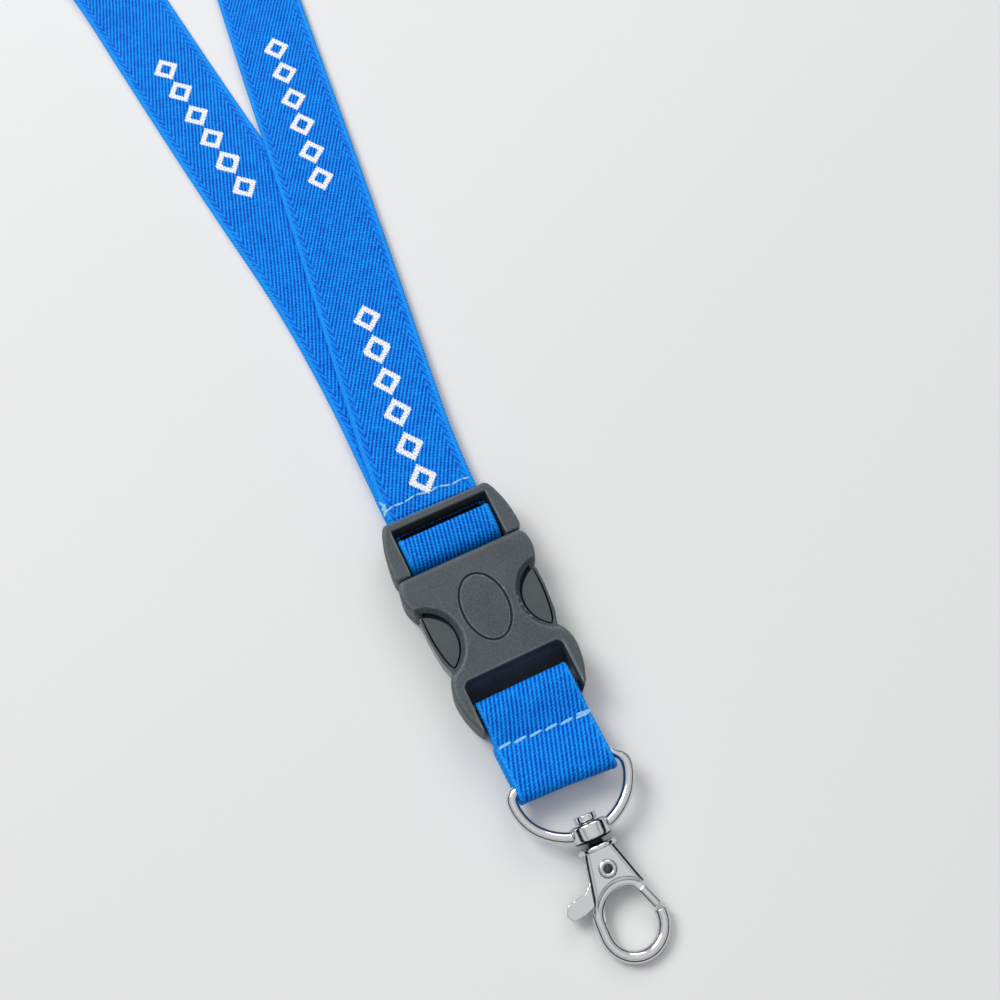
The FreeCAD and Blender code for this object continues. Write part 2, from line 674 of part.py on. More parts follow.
plate = bound("Wedge", "plate", {
    "Xmin": s("[eye_shift] - [plate_foot_half]"), "Xmax": s("[eye_shift] + [plate_foot_half]"),
    "X2min": s("-[plate_top_half]"), "X2max": s("[plate_top_half]"),
    "Ymin": "0", "Ymax": s("[plate_long]"),
    "Zmin": s("-[plate_foot_thick] / 2"), "Zmax": s("[plate_foot_thick] / 2"),
    "Z2min": s("-[plate_thick] / 2"), "Z2max": s("[plate_thick] / 2")},
    (0, f"-({plate_top} + Sizes.plate_long)", 0))
eye_x = s("[eye_shift]")
eye_top = f"({boss_foot} + [eye_set])"
upper_eye = s(f"-({eye_top} + [eye_half])")
lower_eye = s(f"-({eye_top} + [eye_long] - [eye_half])")
eye_sizes = {"Radius1": s("[eye_half] + [hook_wire]"), "Radius2": s("[hook_wire]"), "Angle3": "180"}
eye_items = [
    bound("Torus", "eye_top_bend", eye_sizes, (eye_x, upper_eye, 0), (Z_AXIS, 0)),
    bound("Torus", "eye_foot_bend", eye_sizes, (eye_x, lower_eye, 0), (Z_AXIS, 180)),
]
for side in (-1, 1):
    eye_items.append(bound("Cylinder", f"eye_side_{side + 1}", {
        "Radius": s("[hook_wire]"), "Height": s("[eye_long] - 2 * [eye_half]")},
        (s(f"{side} * ([eye_half] + [hook_wire]) + [eye_shift]"), upper_eye, 0), ALONG))
eye_clear = bound("Cylinder", "eye_clear", {
    "Radius": s("[eye_half]"), "Height": s("[plate_thick] + 2")},
    (eye_x, upper_eye, s("-([plate_thick] / 2 + 1)")))
lever_slot = bound("Box", "lever_slot", {
    "Length": s("4 * [plate_foot_half]"), "Width": s("[eye_set] - [collar_gap] - [collar_long] + 2.0"),
    "Height": s("[lever_slot]")},
    (s("-2 * [plate_foot_half]"), s(f"-({boss_foot} + [eye_set] + 2.85)"),
     s("-[lever_slot] / 2")))
gate_way = bound("Box", "gate_way", {
    "Length": s("[eye_half] + 4 * [hook_wire]"), "Width": s("[gate_long]"),
    "Height": s("[plate_thick] + 2")},
    (s("[eye_half] / 2 + [eye_shift]"), s(f"-({boss_foot} + [gate_top] + [gate_long])"), s("-([plate_thick] / 2 + 1)")))
rivet_y = s(f"-({boss_foot} + [rivet_set])")
rivet_hole = bound("Cylinder", "rivet_hole", {
    "Radius": s("[rivet_radius] + 0.02"), "Height": s("[plate_thick] + 2")},
    (0, rivet_y, s("-([plate_thick] / 2 + 1)")))
cast = joined("cast_plate", "Cut", [plate, eye_clear])
cast = joined("cast", "Fuse", [cast] + eye_items)
cast = joined("cast_cut", "Cut", [cast, lever_slot, gate_way, rivet_hole])
finish(joined("hook", "Fuse", [cast, collar, post, head]), "hook_body", clasp_place)

rivet_shank = bound("Cylinder", "rivet_shank", {
    "Radius": s("[rivet_radius]"), "Height": s("[plate_thick] + 2 * [rivet_head_thick]")},
    (0, rivet_y, s("-([plate_thick] / 2 + [rivet_head_thick])")))
rivet_caps = [bound("Cylinder", f"rivet_cap_{face}", {
    "Radius": s("[rivet_head]"), "Height": s("[rivet_head_thick]")},
    (0, rivet_y, s(place))) for face, place in enumerate(
        ("[plate_thick] / 2", "-([plate_thick] / 2 + [rivet_head_thick])"))]
rivet_bore = bound("Cylinder", "rivet_bore", {
    "Radius": s("[rivet_bore]"), "Height": s("[plate_thick] + 4")},
    (0, rivet_y, s("-([plate_thick] / 2 + 2)")))
rivet = joined("rivet", "Fuse", [rivet_shank] + rivet_caps)
finish(joined("rivet_drilled", "Cut", [rivet, rivet_bore]), "pivot_rivet", clasp_place)

# Gate lever: one flat stamping that turns on the rivet, with a thumb pad on the left and the gate
# on the right.
doc.recompute()
foot = cell("boss_set") + cell("boss_long") / 2
pivot = foot + cell("rivet_set")
lever_half = cell("lever_thick") / 2
eye_top_v = foot + cell("eye_set")
gate_top_v = foot + cell("gate_top")
gate_foot_v = gate_top_v + cell("gate_long")
eye_shift = cell("eye_shift")
eye_mid = cell("eye_half") + cell("hook_wire") + eye_shift
stamp = [
    (-2.3, pivot - 0.4), (-1.3, pivot - 2.0), (1.3, pivot - 2.0), (2.3, pivot - 0.4),
    (eye_shift + 3.4, gate_top_v - 1.6), (eye_shift + 4.5, gate_top_v + 0.6),
    (eye_shift + 4.9, gate_top_v + 2.2), (eye_shift + 3.9, gate_top_v + 2.4),
    (eye_shift + 2.3, eye_top_v - 0.2), (eye_shift, eye_top_v - 0.9),
    (eye_shift - 3.0, eye_top_v - 0.3), (eye_shift - 4.6, eye_top_v + 1.0),
    (-6.6, eye_top_v + 1.9), (-9.3, eye_top_v + 2.2), (-10.1, eye_top_v + 0.8),
    (-9.2, eye_top_v - 0.9), (-5.4, eye_top_v - 1.5),
]
lever = prism([(x, -v) for x, v in stamp], -lever_half, lever_half)
lever = lever.makeFillet(0.6, [e for e in upright(lever) if e.BoundBox.XMax < -9.0])
gate_radius = cell("gate_wire")
gate_from = V(eye_mid - 1.6, -(gate_top_v + gate_radius + 0.25), 0)
gate_to = V(eye_mid - 0.1, -(gate_foot_v - 0.8), 0)
gate = Part.makeCylinder(gate_radius, (gate_to - gate_from).Length, gate_from, gate_to - gate_from)
lever = lever.fuse(gate)
hub_hole = Part.makeCylinder(cell("rivet_radius") + cell("turn_gap"), 4, V(0, -pivot, -2))
spring_wire, spring_radius = cell("spring_wire"), cell("spring_radius")
spring_room = Part.makeCylinder(spring_radius + spring_wire + 0.15, 2,
                                V(0, -pivot, lever_half - 2 * spring_wire - 0.1))
lever = lever.cut(hub_hole).cut(spring_room)
shaped("gate_lever", lever.removeSplitter(), clasp_place)
coil = Part.makeTorus(spring_radius, spring_wire, V(0, -pivot, lever_half - spring_wire + 0.02))
shaped("gate_spring", coil, clasp_place)

# ---------------------------------------------------------------- check and export
doc.recompute()
for item in doc.Objects:
    if "Invalid" in item.State or "Error" in item.State:
        raise RuntimeError(f"{item.Label} failed: {item.State}")
for piece in pieces:
    if piece.Shape.isNull() or not piece.Shape.isValid():
        raise RuntimeError(f"{piece.Label} has no valid shape")
os.makedirs("parts", exist_ok=True)
for piece in pieces:
    piece.Shape.exportStep(f"parts/{piece.Label}.step")
    solids = len(piece.Shape.Solids)
    print(piece.Label, "solids", solids, "volume", round(piece.Shape.Volume, 2))
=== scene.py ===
"""A lanyard badge holder: woven neck strap, side-release buckle and swivel trigger hook.

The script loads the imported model, then dresses it piece by piece, from the table it lies on and
the long strap down to the hook. Lengths are metres; MM turns millimetres into them.
"""
import json
import math

import bmesh
import bpy
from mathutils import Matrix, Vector


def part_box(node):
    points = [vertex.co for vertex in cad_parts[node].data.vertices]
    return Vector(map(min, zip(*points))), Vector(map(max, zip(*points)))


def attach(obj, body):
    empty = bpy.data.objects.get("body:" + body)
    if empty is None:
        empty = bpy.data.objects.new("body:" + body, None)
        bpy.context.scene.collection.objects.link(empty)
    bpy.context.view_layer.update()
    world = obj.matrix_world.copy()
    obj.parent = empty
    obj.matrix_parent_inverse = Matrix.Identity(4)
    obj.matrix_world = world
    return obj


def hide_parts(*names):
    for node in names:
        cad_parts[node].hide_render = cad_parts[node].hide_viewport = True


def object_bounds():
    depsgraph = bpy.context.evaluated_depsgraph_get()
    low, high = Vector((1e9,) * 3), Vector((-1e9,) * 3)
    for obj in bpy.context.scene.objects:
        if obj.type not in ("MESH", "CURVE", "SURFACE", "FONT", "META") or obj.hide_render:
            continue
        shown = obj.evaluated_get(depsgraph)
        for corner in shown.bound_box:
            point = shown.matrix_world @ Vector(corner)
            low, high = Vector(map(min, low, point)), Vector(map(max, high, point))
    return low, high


MM = 0.001
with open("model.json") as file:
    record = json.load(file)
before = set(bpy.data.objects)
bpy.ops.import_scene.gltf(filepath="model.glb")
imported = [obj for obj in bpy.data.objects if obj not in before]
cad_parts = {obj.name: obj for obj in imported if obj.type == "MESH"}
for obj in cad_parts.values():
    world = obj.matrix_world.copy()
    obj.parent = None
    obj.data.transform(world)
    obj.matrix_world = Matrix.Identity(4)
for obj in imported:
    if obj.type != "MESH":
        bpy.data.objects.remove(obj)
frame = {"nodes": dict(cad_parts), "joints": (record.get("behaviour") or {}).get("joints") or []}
cad_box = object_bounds()
scene = bpy.context.scene
scene.view_settings.view_transform = "Standard"


# ---------------------------------------------------------------- table, light and camera
# A pale, matt table top under soft daylight from the left, with a white studio around it. The
# camera stands close over the hook's end and looks down along the strap.
def srgb(code):
    """The linear colour of a hex code."""
    channels = [int(code[start:start + 2], 16) / 255 for start in (1, 3, 5)]
    return [c / 12.92 if c <= 0.04045 else ((c + 0.055) / 1.055) ** 2.4 for c in channels] + [1]


def node(tree, kind, inputs=(), **settings):
    """Add a node with its settings; an input takes a value or another node's output."""
    made = tree.nodes.new(kind)
    for key, value in settings.items():
        setattr(made, key, value)
    for key, value in dict(inputs).items():
        if isinstance(value, bpy.types.NodeSocket):
            tree.links.new(value, made.inputs[key])
        else:
            made.inputs[key].default_value = value
    return made


def shader(name, **values):
    """A new material and its Principled shader, with these inputs set."""
    made = bpy.data.materials.new(name)
    made.use_nodes = True
    surface = made.node_tree.nodes["Principled BSDF"]
    for key, value in values.items():
        surface.inputs[key.replace("_", " ")].default_value = value
    return made, made.node_tree, surface


def mottled(tree, surface, scale, detail, dark, light):
    """Colour a surface with a noise between two hex codes, and return the noise."""
    place = node(tree, "ShaderNodeTexCoord").outputs["Object"]
    cloud = node(tree, "ShaderNodeTexNoise", {
        "Vector": place, "Scale": scale, "Detail": detail}).outputs["Fac"]
    tone = node(tree, "ShaderNodeMix", {"Factor": cloud, "A": srgb(dark), "B": srgb(light)},
                data_type="RGBA")
    tree.links.new(tone.outputs["Result"], surface.inputs["Base Color"])
    return cloud


def placed(name, data):
    """A smooth-shaded piece with that mesh, in the scene."""
    for face in data.polygons:
        face.use_smooth = True
    piece = bpy.data.objects.new(name, data)
    scene.collection.objects.link(piece)
    return piece


# Matt laminate table: an even off-white, a little uneven in tone.
table_paint, tree, surface = shader("matt_white_laminate", Roughness=0.85)
mottled(tree, surface, 3.0, 2.0, "#E3E3E3", "#E8E8E7")

TABLE_HALF = 2.5                  # half the table's width
table_mesh = bmesh.new()
bmesh.ops.create_grid(table_mesh, x_segments=1, y_segments=1, size=TABLE_HALF)
bmesh.ops.translate(table_mesh, verts=table_mesh.verts, vec=(0, 0, cad_box[0][2]))
table_data = bpy.data.meshes.new("table_top")
table_mesh.to_mesh(table_data)
table_mesh.free()
table = placed("table_top", table_data)
table.data.materials.append(table_paint)

WORLD_LEVEL = 0.76                # light on the pieces
SEEN_LEVEL = 0.95                 # and as metal and gloss show the studio
world = bpy.data.worlds.new("studio")
scene.world = world
world.use_nodes = True
tree = world.node_tree
sky = tree.nodes["Background"]
way = node(tree, "ShaderNodeTexCoord").outputs["Generated"]
height = node(tree, "ShaderNodeSeparateXYZ", {"Vector": way}).outputs["Z"]
room = node(tree, "ShaderNodeValToRGB", {"Fac": height})
room.color_ramp.elements[0].position = 0.0
room.color_ramp.elements[0].color = srgb("#4A4D50")
room.color_ramp.elements[1].position = 0.92
room.color_ramp.elements[1].color = srgb("#F2F3F5")
for position, code in ((0.07, "#0B0C0E"), (0.36, "#101215"), (0.44, "#C4C7CB"), (0.58, "#FFFFFF"),
                       (0.70, "#A9ACB0"), (0.80, "#D8DADC")):
    room.color_ramp.elements.new(position).color = srgb(code)
tree.links.new(room.outputs["Color"], sky.inputs["Color"])
ray = node(tree, "ShaderNodeLightPath").outputs
seen = node(tree, "ShaderNodeMath", {0: ray["Is Camera Ray"], 1: ray["Is Glossy Ray"]},
            operation="MAXIMUM")
seen = node(tree, "ShaderNodeMath", {0: seen.outputs[0], 1: ray["Is Transmission Ray"]},
            operation="MAXIMUM")
level = node(tree, "ShaderNodeMix", {
    "Factor": seen.outputs[0], "A": WORLD_LEVEL, "B": SEEN_LEVEL})
tree.links.new(level.outputs["Result"], sky.inputs["Strength"])

LOOKS_AT = Vector((13.8, 24.3, 0.0)) * MM
CAMERA_AT = Vector((-26.1, -59.0, 227.4)) * MM


def aimed(item, at, target):
    """Place a lamp or camera and turn it to a target, level with the horizon."""
    item.location = at
    item.rotation_euler = (target - at).to_track_quat("-Z", "Y").to_euler()
    scene.collection.objects.link(item)


for name, at, size, watts in (
        ("window_light", (-0.50, 0.85, 1.10), 0.7, 12.5),
        ("far_fill", (0.70, 1.00, 1.00), 0.9, 4.5)):
    lamp = bpy.data.lights.new(name, "AREA")
    lamp.size = size
    lamp.energy = watts
    aimed(bpy.data.objects.new(name, lamp), Vector(at), LOOKS_AT)

camera = bpy.data.objects.new("camera", bpy.data.cameras.new("camera"))
camera.data.lens = 42.0
camera.data.sensor_width = 36.0
camera.data.clip_start = 0.01
aimed(camera, CAMERA_AT, LOOKS_AT)
scene.camera = camera


# ---------------------------------------------------------------- neck strap
# One 20 mm polyester webbing, woven in a steep twill with herringbone selvedges and corded edges.
# It leaves the buckle as the upper leg, goes round the nape on edge and comes back underneath.
WEBBING_WIDE = 20.0 * MM
WEBBING_THICK = 1.0 * MM
ROW = 0.36 * MM                   # length of one row of faces along the webbing
CORD_PITCH = 0.9                  # bumps along the corded edges, in mm
CORD_SWELL = 0.006                # how far they swell the webbing, a share of its width
STRAP_ROUTE = [                   # x, y, height of the middle line, in mm
    (0.3, 28.4, 2.65), (0.7, 40, 2.6), (2.7, 56, 2.2), (6.4, 83, 1.65),
    (11.0, 119, 1.65), (15.8, 160, 1.35), (21.5, 204, 0.9), (32, 240, 5.5),
    (44.5, 272, 9.0), (57.5, 303, 10.1), (71.2, 332, 10.1), (71.2, 368, 10.1),
    (53.2, 399.2, 10.1), (22, 417.2, 10.1), (-14, 417.2, 10.1),
    (-45.2, 399.2, 10.1), (-63.2, 368, 10.1), (-63.2, 332, 10.1),
    (-50, 303, 10.1), (-37.5, 271, 9.0), (-25.5, 239, 5.5), (-15.4, 203, 0.9),
    (-10.7, 160, 0.52), (-5.9, 120, 0.52), (-1.4, 88, 0.52), (0.1, 60, 0.6),
    (-0.1, 44, 1.5), (0.0, 31, 1.6),
]
EDGE_TURN = (205.0, 303.0)        # between these the webbing turns from flat to on edge, in mm
TABLE_GAP = 0.02 * MM             # kept between the webbing and the table


def smooth(share):
    """A gentle ramp from 0 to 1."""
    share = min(max(share, 0.0), 1.0)
    return share * share * (3 - 2 * share)


def spline_points(points):
    """Points read from the NURBS spline with these control points."""
    curve = bpy.data.curves.new("route", "CURVE")
    curve.dimensions = "3D"
    spline = curve.splines.new("NURBS")
    spline.points.add(len(points) - 1)
    for control, point in zip(spline.points, points):
        control.co = (*point, 1)
    spline.order_u = 3
    spline.use_endpoint_u = True
    spline.resolution_u = 24
    holder = bpy.data.objects.new("route", curve)
    scene.collection.objects.link(holder)
    line = bpy.data.meshes.new_from_object(holder)
    found = [vertex.co.copy() for vertex in line.vertices]
    bpy.data.objects.remove(holder)
    bpy.data.meshes.remove(line)
    bpy.data.curves.remove(curve)
    return found


def stepped(points, step):
    """Even steps along a line of points: the place, heading and distance of each."""
    lengths = [0.0]
    for one, other in zip(points, points[1:]):
        lengths.append(lengths[-1] + (other - one).length)
    count = max(2, round(lengths[-1] / step))
    places, span = [], 0
    for number in range(count + 1):
        here = lengths[-1] * number / count
        while span < len(points) - 2 and lengths[span + 1] < here:
            span += 1
        part = (here - lengths[span]) / (lengths[span + 1] - lengths[span])
        places.append((points[span].lerp(points[span + 1], part), here))
    spots = []
    for number, (spot, here) in enumerate(places):
        before = places[max(number - 1, 0)][0]
        after = places[min(number + 1, count)][0]
        spots.append((spot, (after - before).normalized(), here))
    return spots


def wrapped(name, columns, rows, position, texture=None):
    """A grid laid round a long piece: position(column, row) gives each point in metres.

    The columns run round the section, whose first and last meet, and texture(column, row) gives
    the UV of each corner, in mm.
    """
    mesh = bmesh.new()
    bmesh.ops.create_grid(mesh, x_segments=columns, y_segments=rows, size=0.5)
    spots = {}
    for vertex in mesh.verts:
        spots[vertex] = (round((vertex.co.x + 0.5) * columns), round((vertex.co.y + 0.5) * rows))
    if texture:
        layer = mesh.loops.layers.uv.new("weave")
        for face in mesh.faces:
            for corner in face.loops:
                corner[layer].uv = texture(*spots[corner.vert])
    for vertex, spot in spots.items():
        vertex.co = position(*spot)
    bmesh.ops.remove_doubles(mesh, verts=mesh.verts, dist=1e-7)
    ends = [edge for edge in mesh.edges if edge.is_boundary]
    bmesh.ops.holes_fill(mesh, edges=ends, sides=columns + 2)
    bmesh.ops.recalc_face_normals(mesh, faces=mesh.faces)
    data = bpy.data.meshes.new(name)
    mesh.to_mesh(data)
    mesh.free()
    return placed(name, data)


# The webbing's section: a flat field, a shallow channel and a round cord along each edge. Each
# point is a share of half the width and of half the thickness.
HALF_SECTION = [(-1.0, 0.0), (-0.992, 0.55), (-0.968, 0.92), (-0.935, 0.98), (-0.9, 0.8),
                (-0.86, 0.84), (-0.5, 0.9), (0.0, 0.92)]
TOP_SECTION = HALF_SECTION + [(-a, b) for a, b in reversed(HALF_SECTION[:-1])]
SECTION = TOP_SECTION + [(a, -b) for a, b in reversed(TOP_SECTION[:-1])]


def webbing(name, line, roll=None, wide=WEBBING_WIDE, start=0.0, side=None, warp=None):
    """Flat webbing laid along a line of points; roll(point) is its turn about the line.

    side is the direction across it where the line climbs or folds, else it is level. start is the
    weave's first distance in mm, and warp(point, distance) may push each point about.
    """
    spots = stepped(line, ROW)

    def position(column, row):
        spot, along, here = spots[row]
        level_way = side or Vector((0, 0, 1)).cross(along).normalized()
        turn = roll(spot) if roll else 0.0
        face = along.cross(level_way).normalized()
        across = level_way * math.cos(turn) + face * math.sin(turn)
        up = along.cross(across)
        a, b = SECTION[column]
        swell = 1 + CORD_SWELL * math.cos(2 * math.pi * (here / MM + start) / CORD_PITCH)
        point = spot + across * (a * wide / 2 * swell) + up * (b * WEBBING_THICK / 2)
        return warp(point, here / MM) if warp else point

    def texture(column, row):
        return (-SECTION[column][0] * wide / 2 / MM, spots[row][2] / MM + start)

    return wrapped(name, len(SECTION) - 1, len(spots) - 1, position, texture)


# Woven polyester: fine bright warp in steep ribs, each rib a row of short floats, with darker
# gaps between them. The colour follows the relief: the low gaps are painted shade, and the rib
# tops and cord bumps are a painted highlight. It is satiny along the ribs and has a little melange
# in its tone.
RIB_PITCH = 0.82                  # mm between ribs
FLOAT_PITCH = 0.62                # mm between floats along a rib, coarser than the real 0.4
RIB_WANDER = 0.10                 # mm that a rib strays across the strap
STRAP_LEAN = 24.0                 # degrees from the strap's direction to its ribs
END_LEAN = 11.0                   # and where the buckle pulls the webbing straight
LOWER_LEAN = -19.0                # the lower strap shows the webbing's other face
FIELD_HALF = 8.0                  # mm, half the width of the field between the selvedges
END_FIELD = 9.2                   # and where the webbing is pulled into a round
CORD_INSIDE = 8.9                 # mm from the middle to the corded edge's inner side
MOTIF_HALF = 3.2                  # mm, half the width of the woven white motif
MOTIF_PITCH = 81.5                # mm between one chain of lozenges and the next
LOZENGE_PITCH = 8.3               # mm
LOZENGE_GAP = 0.5                 # mm from a lozenge's tip to the end of its pitch
LOZENGE_HOLE = 0.5                # the share of its reach that the blue middle takes
YARN_WIDE, YARN_LONG = 0.4, 0.45  # mm, the steps of the motif's edges across and along
PIN_WIDE, PIN_LONG = 0.8, 0.9     # mm between the points that bind the white yarn
CHAIN_LOZENGES = 6
CHAIN_START = 1.6                 # mm along the strap to the first chain
LAST_CHAIN = 800.0                # mm along, the end of the last, short of the crossing legs


def polyester_webbing(name, lean, field, chains, dye_and_shade_codes=("#003AAE", "#0072E4", "#06A2FF")):
    """The webbing's material, with or without the woven white lozenges."""
    made, tree, surface = shader(name, Roughness=0.75)
    surface.inputs["Specular IOR Level"].default_value = 0.16
    lean = math.radians(lean)

    def calc(kind, one, other=0.0, third=0.0):
        return node(tree, "ShaderNodeMath", {0: one, 1: other, 2: third},
                    operation=kind).outputs[0]

    weave = node(tree, "ShaderNodeUVMap", uv_map="weave").outputs["UV"]
    place = node(tree, "ShaderNodeTexCoord").outputs["Object"]
    wobble = node(tree, "ShaderNodeTexNoise", {"Vector": place, "Scale": 900.0, "Detail": 1.0})
    parts = node(tree, "ShaderNodeSeparateXYZ", {"Vector": weave})
    across, along = parts.outputs["X"], parts.outputs["Y"]
    across = calc("ADD", across, calc("MULTIPLY_ADD", wobble.outputs["Fac"],
                                      RIB_WANDER, -RIB_WANDER / 2))

    # herringbone: the lean turns over at the selvedges
    folded = calc("PINGPONG", calc("ADD", across, field), 2 * field)
    rib = calc("DIVIDE", calc("SUBTRACT", calc("MULTIPLY", folded, math.cos(lean)),
                              calc("MULTIPLY", along, math.sin(lean))), RIB_PITCH)
    ribs = calc("MULTIPLY_ADD", calc("COSINE", calc("MULTIPLY", rib, 2 * math.pi)), 0.5, 0.5)
    slip = node(tree, "ShaderNodeTexNoise", {"Vector": place, "Scale": 850.0, "Detail": 2.0})
    float_step = calc("ADD", calc("DIVIDE", along, FLOAT_PITCH), calc("MULTIPLY", rib, 0.5))
    float_step = calc("MULTIPLY_ADD", slip.outputs["Fac"], 2.2, float_step)
    floats = calc("MULTIPLY_ADD", calc("COSINE", calc("MULTIPLY", float_step, 2 * math.pi)),
                  0.5, 0.5)
    relief = calc("ADD", calc("MULTIPLY", ribs, 0.72), calc("MULTIPLY", floats, 0.28))
    out = calc("ABSOLUTE", across)
    in_selvedge = calc("GREATER_THAN", out, field)
    softer = calc("MULTIPLY_ADD", relief, 0.5, 0.22)
    relief = node(tree, "ShaderNodeMix", {
        "Factor": in_selvedge, "A": relief, "B": softer}).outputs["Result"]

    # corded edge: slanting bumps, their tops painted lighter as highlight
    on_cord = calc("SMOOTH_MIN", calc("MAXIMUM", calc(
        "MULTIPLY", calc("SUBTRACT", out, CORD_INSIDE), 6.0), 0.0), 1.0, 0.05)
    tick = calc("MULTIPLY", calc("ADD", along, calc("MULTIPLY", out, 0.8)),
                2 * math.pi / CORD_PITCH)
    cord = calc("MULTIPLY_ADD", calc("COSINE", tick), 0.16, 0.62)
    relief = node(tree, "ShaderNodeMix", {
        "Factor": on_cord, "A": relief, "B": cord}).outputs["Result"]

    melange = node(tree, "ShaderNodeTexNoise", {
        "Vector": place, "Scale": 420.0, "Detail": 3.0, "Roughness": 0.75})
    shade = calc("ADD", relief, calc("MULTIPLY_ADD", melange.outputs["Fac"], 0.7, -0.35))
    # The ramp turns the relief into colour: painted shade in the low gaps, painted highlight on
    # the tops.
    dye_and_shade = node(tree, "ShaderNodeValToRGB", {"Fac": shade})
    ramp = dye_and_shade.color_ramp
    ramp.elements[0].position, ramp.elements[0].color = 0.10, srgb(dye_and_shade_codes[0])
    ramp.elements[1].position, ramp.elements[1].color = 0.88, srgb(dye_and_shade_codes[2])
    ramp.elements.new(0.45).color = srgb(dye_and_shade_codes[1])
    colour = node(tree, "ShaderNodeMix", {
        "Factor": calc("MULTIPLY", on_cord, calc("MULTIPLY", cord, 0.7)),
        "A": dye_and_shade.outputs["Color"], "B": srgb("#1E9CF4")}, data_type="RGBA").outputs["Result"]

    if chains:
        stepped_across = calc("SNAP", across, YARN_WIDE)
        stepped_along = calc("SNAP", calc("SUBTRACT", along, CHAIN_START), YARN_LONG)
        in_pitch = calc("WRAP", stepped_along, MOTIF_PITCH, 0.0)
        in_chain = calc("MULTIPLY", calc("LESS_THAN", along, LAST_CHAIN),
                        calc("LESS_THAN", in_pitch, LOZENGE_PITCH * CHAIN_LOZENGES))
        from_middle = calc("ABSOLUTE", calc(
            "SUBTRACT", calc("WRAP", in_pitch, LOZENGE_PITCH, 0.0), LOZENGE_PITCH / 2))
        reach = calc("ADD", calc("DIVIDE", calc("ABSOLUTE", stepped_across), MOTIF_HALF),
                     calc("DIVIDE", from_middle, LOZENGE_PITCH / 2 - LOZENGE_GAP))
        ring = calc("MULTIPLY", calc("LESS_THAN", reach, 1.0),
                    calc("GREATER_THAN", reach, LOZENGE_HOLE))
        white = calc("MULTIPLY", ring, in_chain)
        pin_a = calc("COSINE", calc("MULTIPLY", calc("ADD", across, calc("MULTIPLY", along, 0.5)),
                                    2 * math.pi / PIN_WIDE))
        pin_b = calc("COSINE", calc("MULTIPLY", along, 2 * math.pi / PIN_LONG))
        pins = calc("MULTIPLY", calc("MULTIPLY_ADD", pin_a, 0.5, 0.5),
                    calc("MULTIPLY_ADD", pin_b, 0.5, 0.5))
        yarn = node(tree, "ShaderNodeMix", {
            "Factor": calc("POWER", pins, 3.0), "A": srgb("#F1F2F4"), "B": srgb("#A9B9D6")},
            data_type="RGBA").outputs["Result"]
        colour = node(tree, "ShaderNodeMix", {"Factor": white, "A": colour, "B": yarn},
                      data_type="RGBA").outputs["Result"]
        raised = calc("MULTIPLY_ADD", pins, -0.5, 1.1)
        relief = node(tree, "ShaderNodeMix", {
            "Factor": white, "A": relief, "B": raised}).outputs["Result"]

    tree.links.new(colour, surface.inputs["Base Color"])
    bump = node(tree, "ShaderNodeBump", {
        "Height": relief, "Strength": 0.75, "Distance": 0.25 * MM})
    tree.links.new(bump.outputs["Normal"], surface.inputs["Normal"])
    return made


printed_webbing = polyester_webbing("woven_polyester_with_lozenges", STRAP_LEAN, FIELD_HALF, True)


def edge_turn(point):
    """The webbing's turn at that distance from the buckle, flat to on edge."""
    low, high = EDGE_TURN
    return math.pi / 2 * smooth((point.y / MM - low) / (high - low))


strap_line = []
for point in spline_points([Vector(spot) * MM for spot in STRAP_ROUTE]):
    turn = edge_turn(point)
    lowest = WEBBING_WIDE / 2 * math.sin(turn) + WEBBING_THICK / 2 * math.cos(turn)
    strap_line.append(Vector((point.x, point.y, max(point.z, lowest + TABLE_GAP))))
neck_strap = webbing("neck_strap", strap_line, edge_turn)
neck_strap.data.materials.append(printed_webbing)
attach(neck_strap, "strap_half")
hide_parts("neck_strap_right", "neck_strap_nape", "neck_strap_left")


# ---------------------------------------------------------------- strap end in the buckle
# The strap's end goes under the outer bar, over the inner bar as a full, rounded crest, and back
# under itself as a flat tail that the upper seam holds.
END_ROUTE = [                     # y, z of the middle line from the tail to the strap, in mm
    (36.2, 0.52), (31.0, 0.52), (25.0, 0.52), (19.6, 0.54), (16.8, 0.8), (15.3, 2.2),
    (15.3, 4.3), (16.5, 6.2), (19.0, 6.95), (21.5, 7.1), (22.0, 7.0), (22.05, 6.2),
    (22.0, 4.3), (22.1, 2.2), (23.0, 1.58), (24.8, 1.6), (26.4, 2.45), (28.45, 2.64),
    (29.6, 2.6),
]
END_UNDER = 1.2                   # mm that the strap end runs on under the neck strap
ACROSS = Vector((-1, 0, 0))       # the webbing's across direction where it runs along +Y
BEHIND_CREST, PAST_BAR = 21.9, 24.9      # y in mm, the crest's back and the strap past the bar
TAIL_TOP, CREST_BACK_TOP = 1.7, 5.0      # z in mm, above the tail, and the top of the crest's back, which is painted in shade
END_SHIFT = 0.3 * MM              # how far the strap leans to the right past the bar
SHIFT_FROM, SHIFT_LONG = 22, 6    # y in mm where the lean begins, and the length it takes
plain_webbing = polyester_webbing("woven_polyester_at_buckle", END_LEAN, END_FIELD, False)
# Painted shade: the crest's back and the strap in the gap behind the outer bar get a near-black
# copy of the webbing.
webbing_in_painted_shade = polyester_webbing("polyester_in_painted_shade_behind_the_bar", END_LEAN, END_FIELD, False,
                                   ("#000512", "#00091F", "#00123A"))

end_line = spline_points([Vector((0, y, z)) * MM for y, z in END_ROUTE])
end_long = sum((b - a).length for a, b in zip(end_line, end_line[1:]))


def end_warp(point, here):
    """The strap beyond the bar leans a little to the right."""
    x, y, z = point
    lean = END_SHIFT * smooth((y / MM - SHIFT_FROM) / SHIFT_LONG) * (z > TAIL_TOP * MM)
    return Vector((x + lean, y, z))


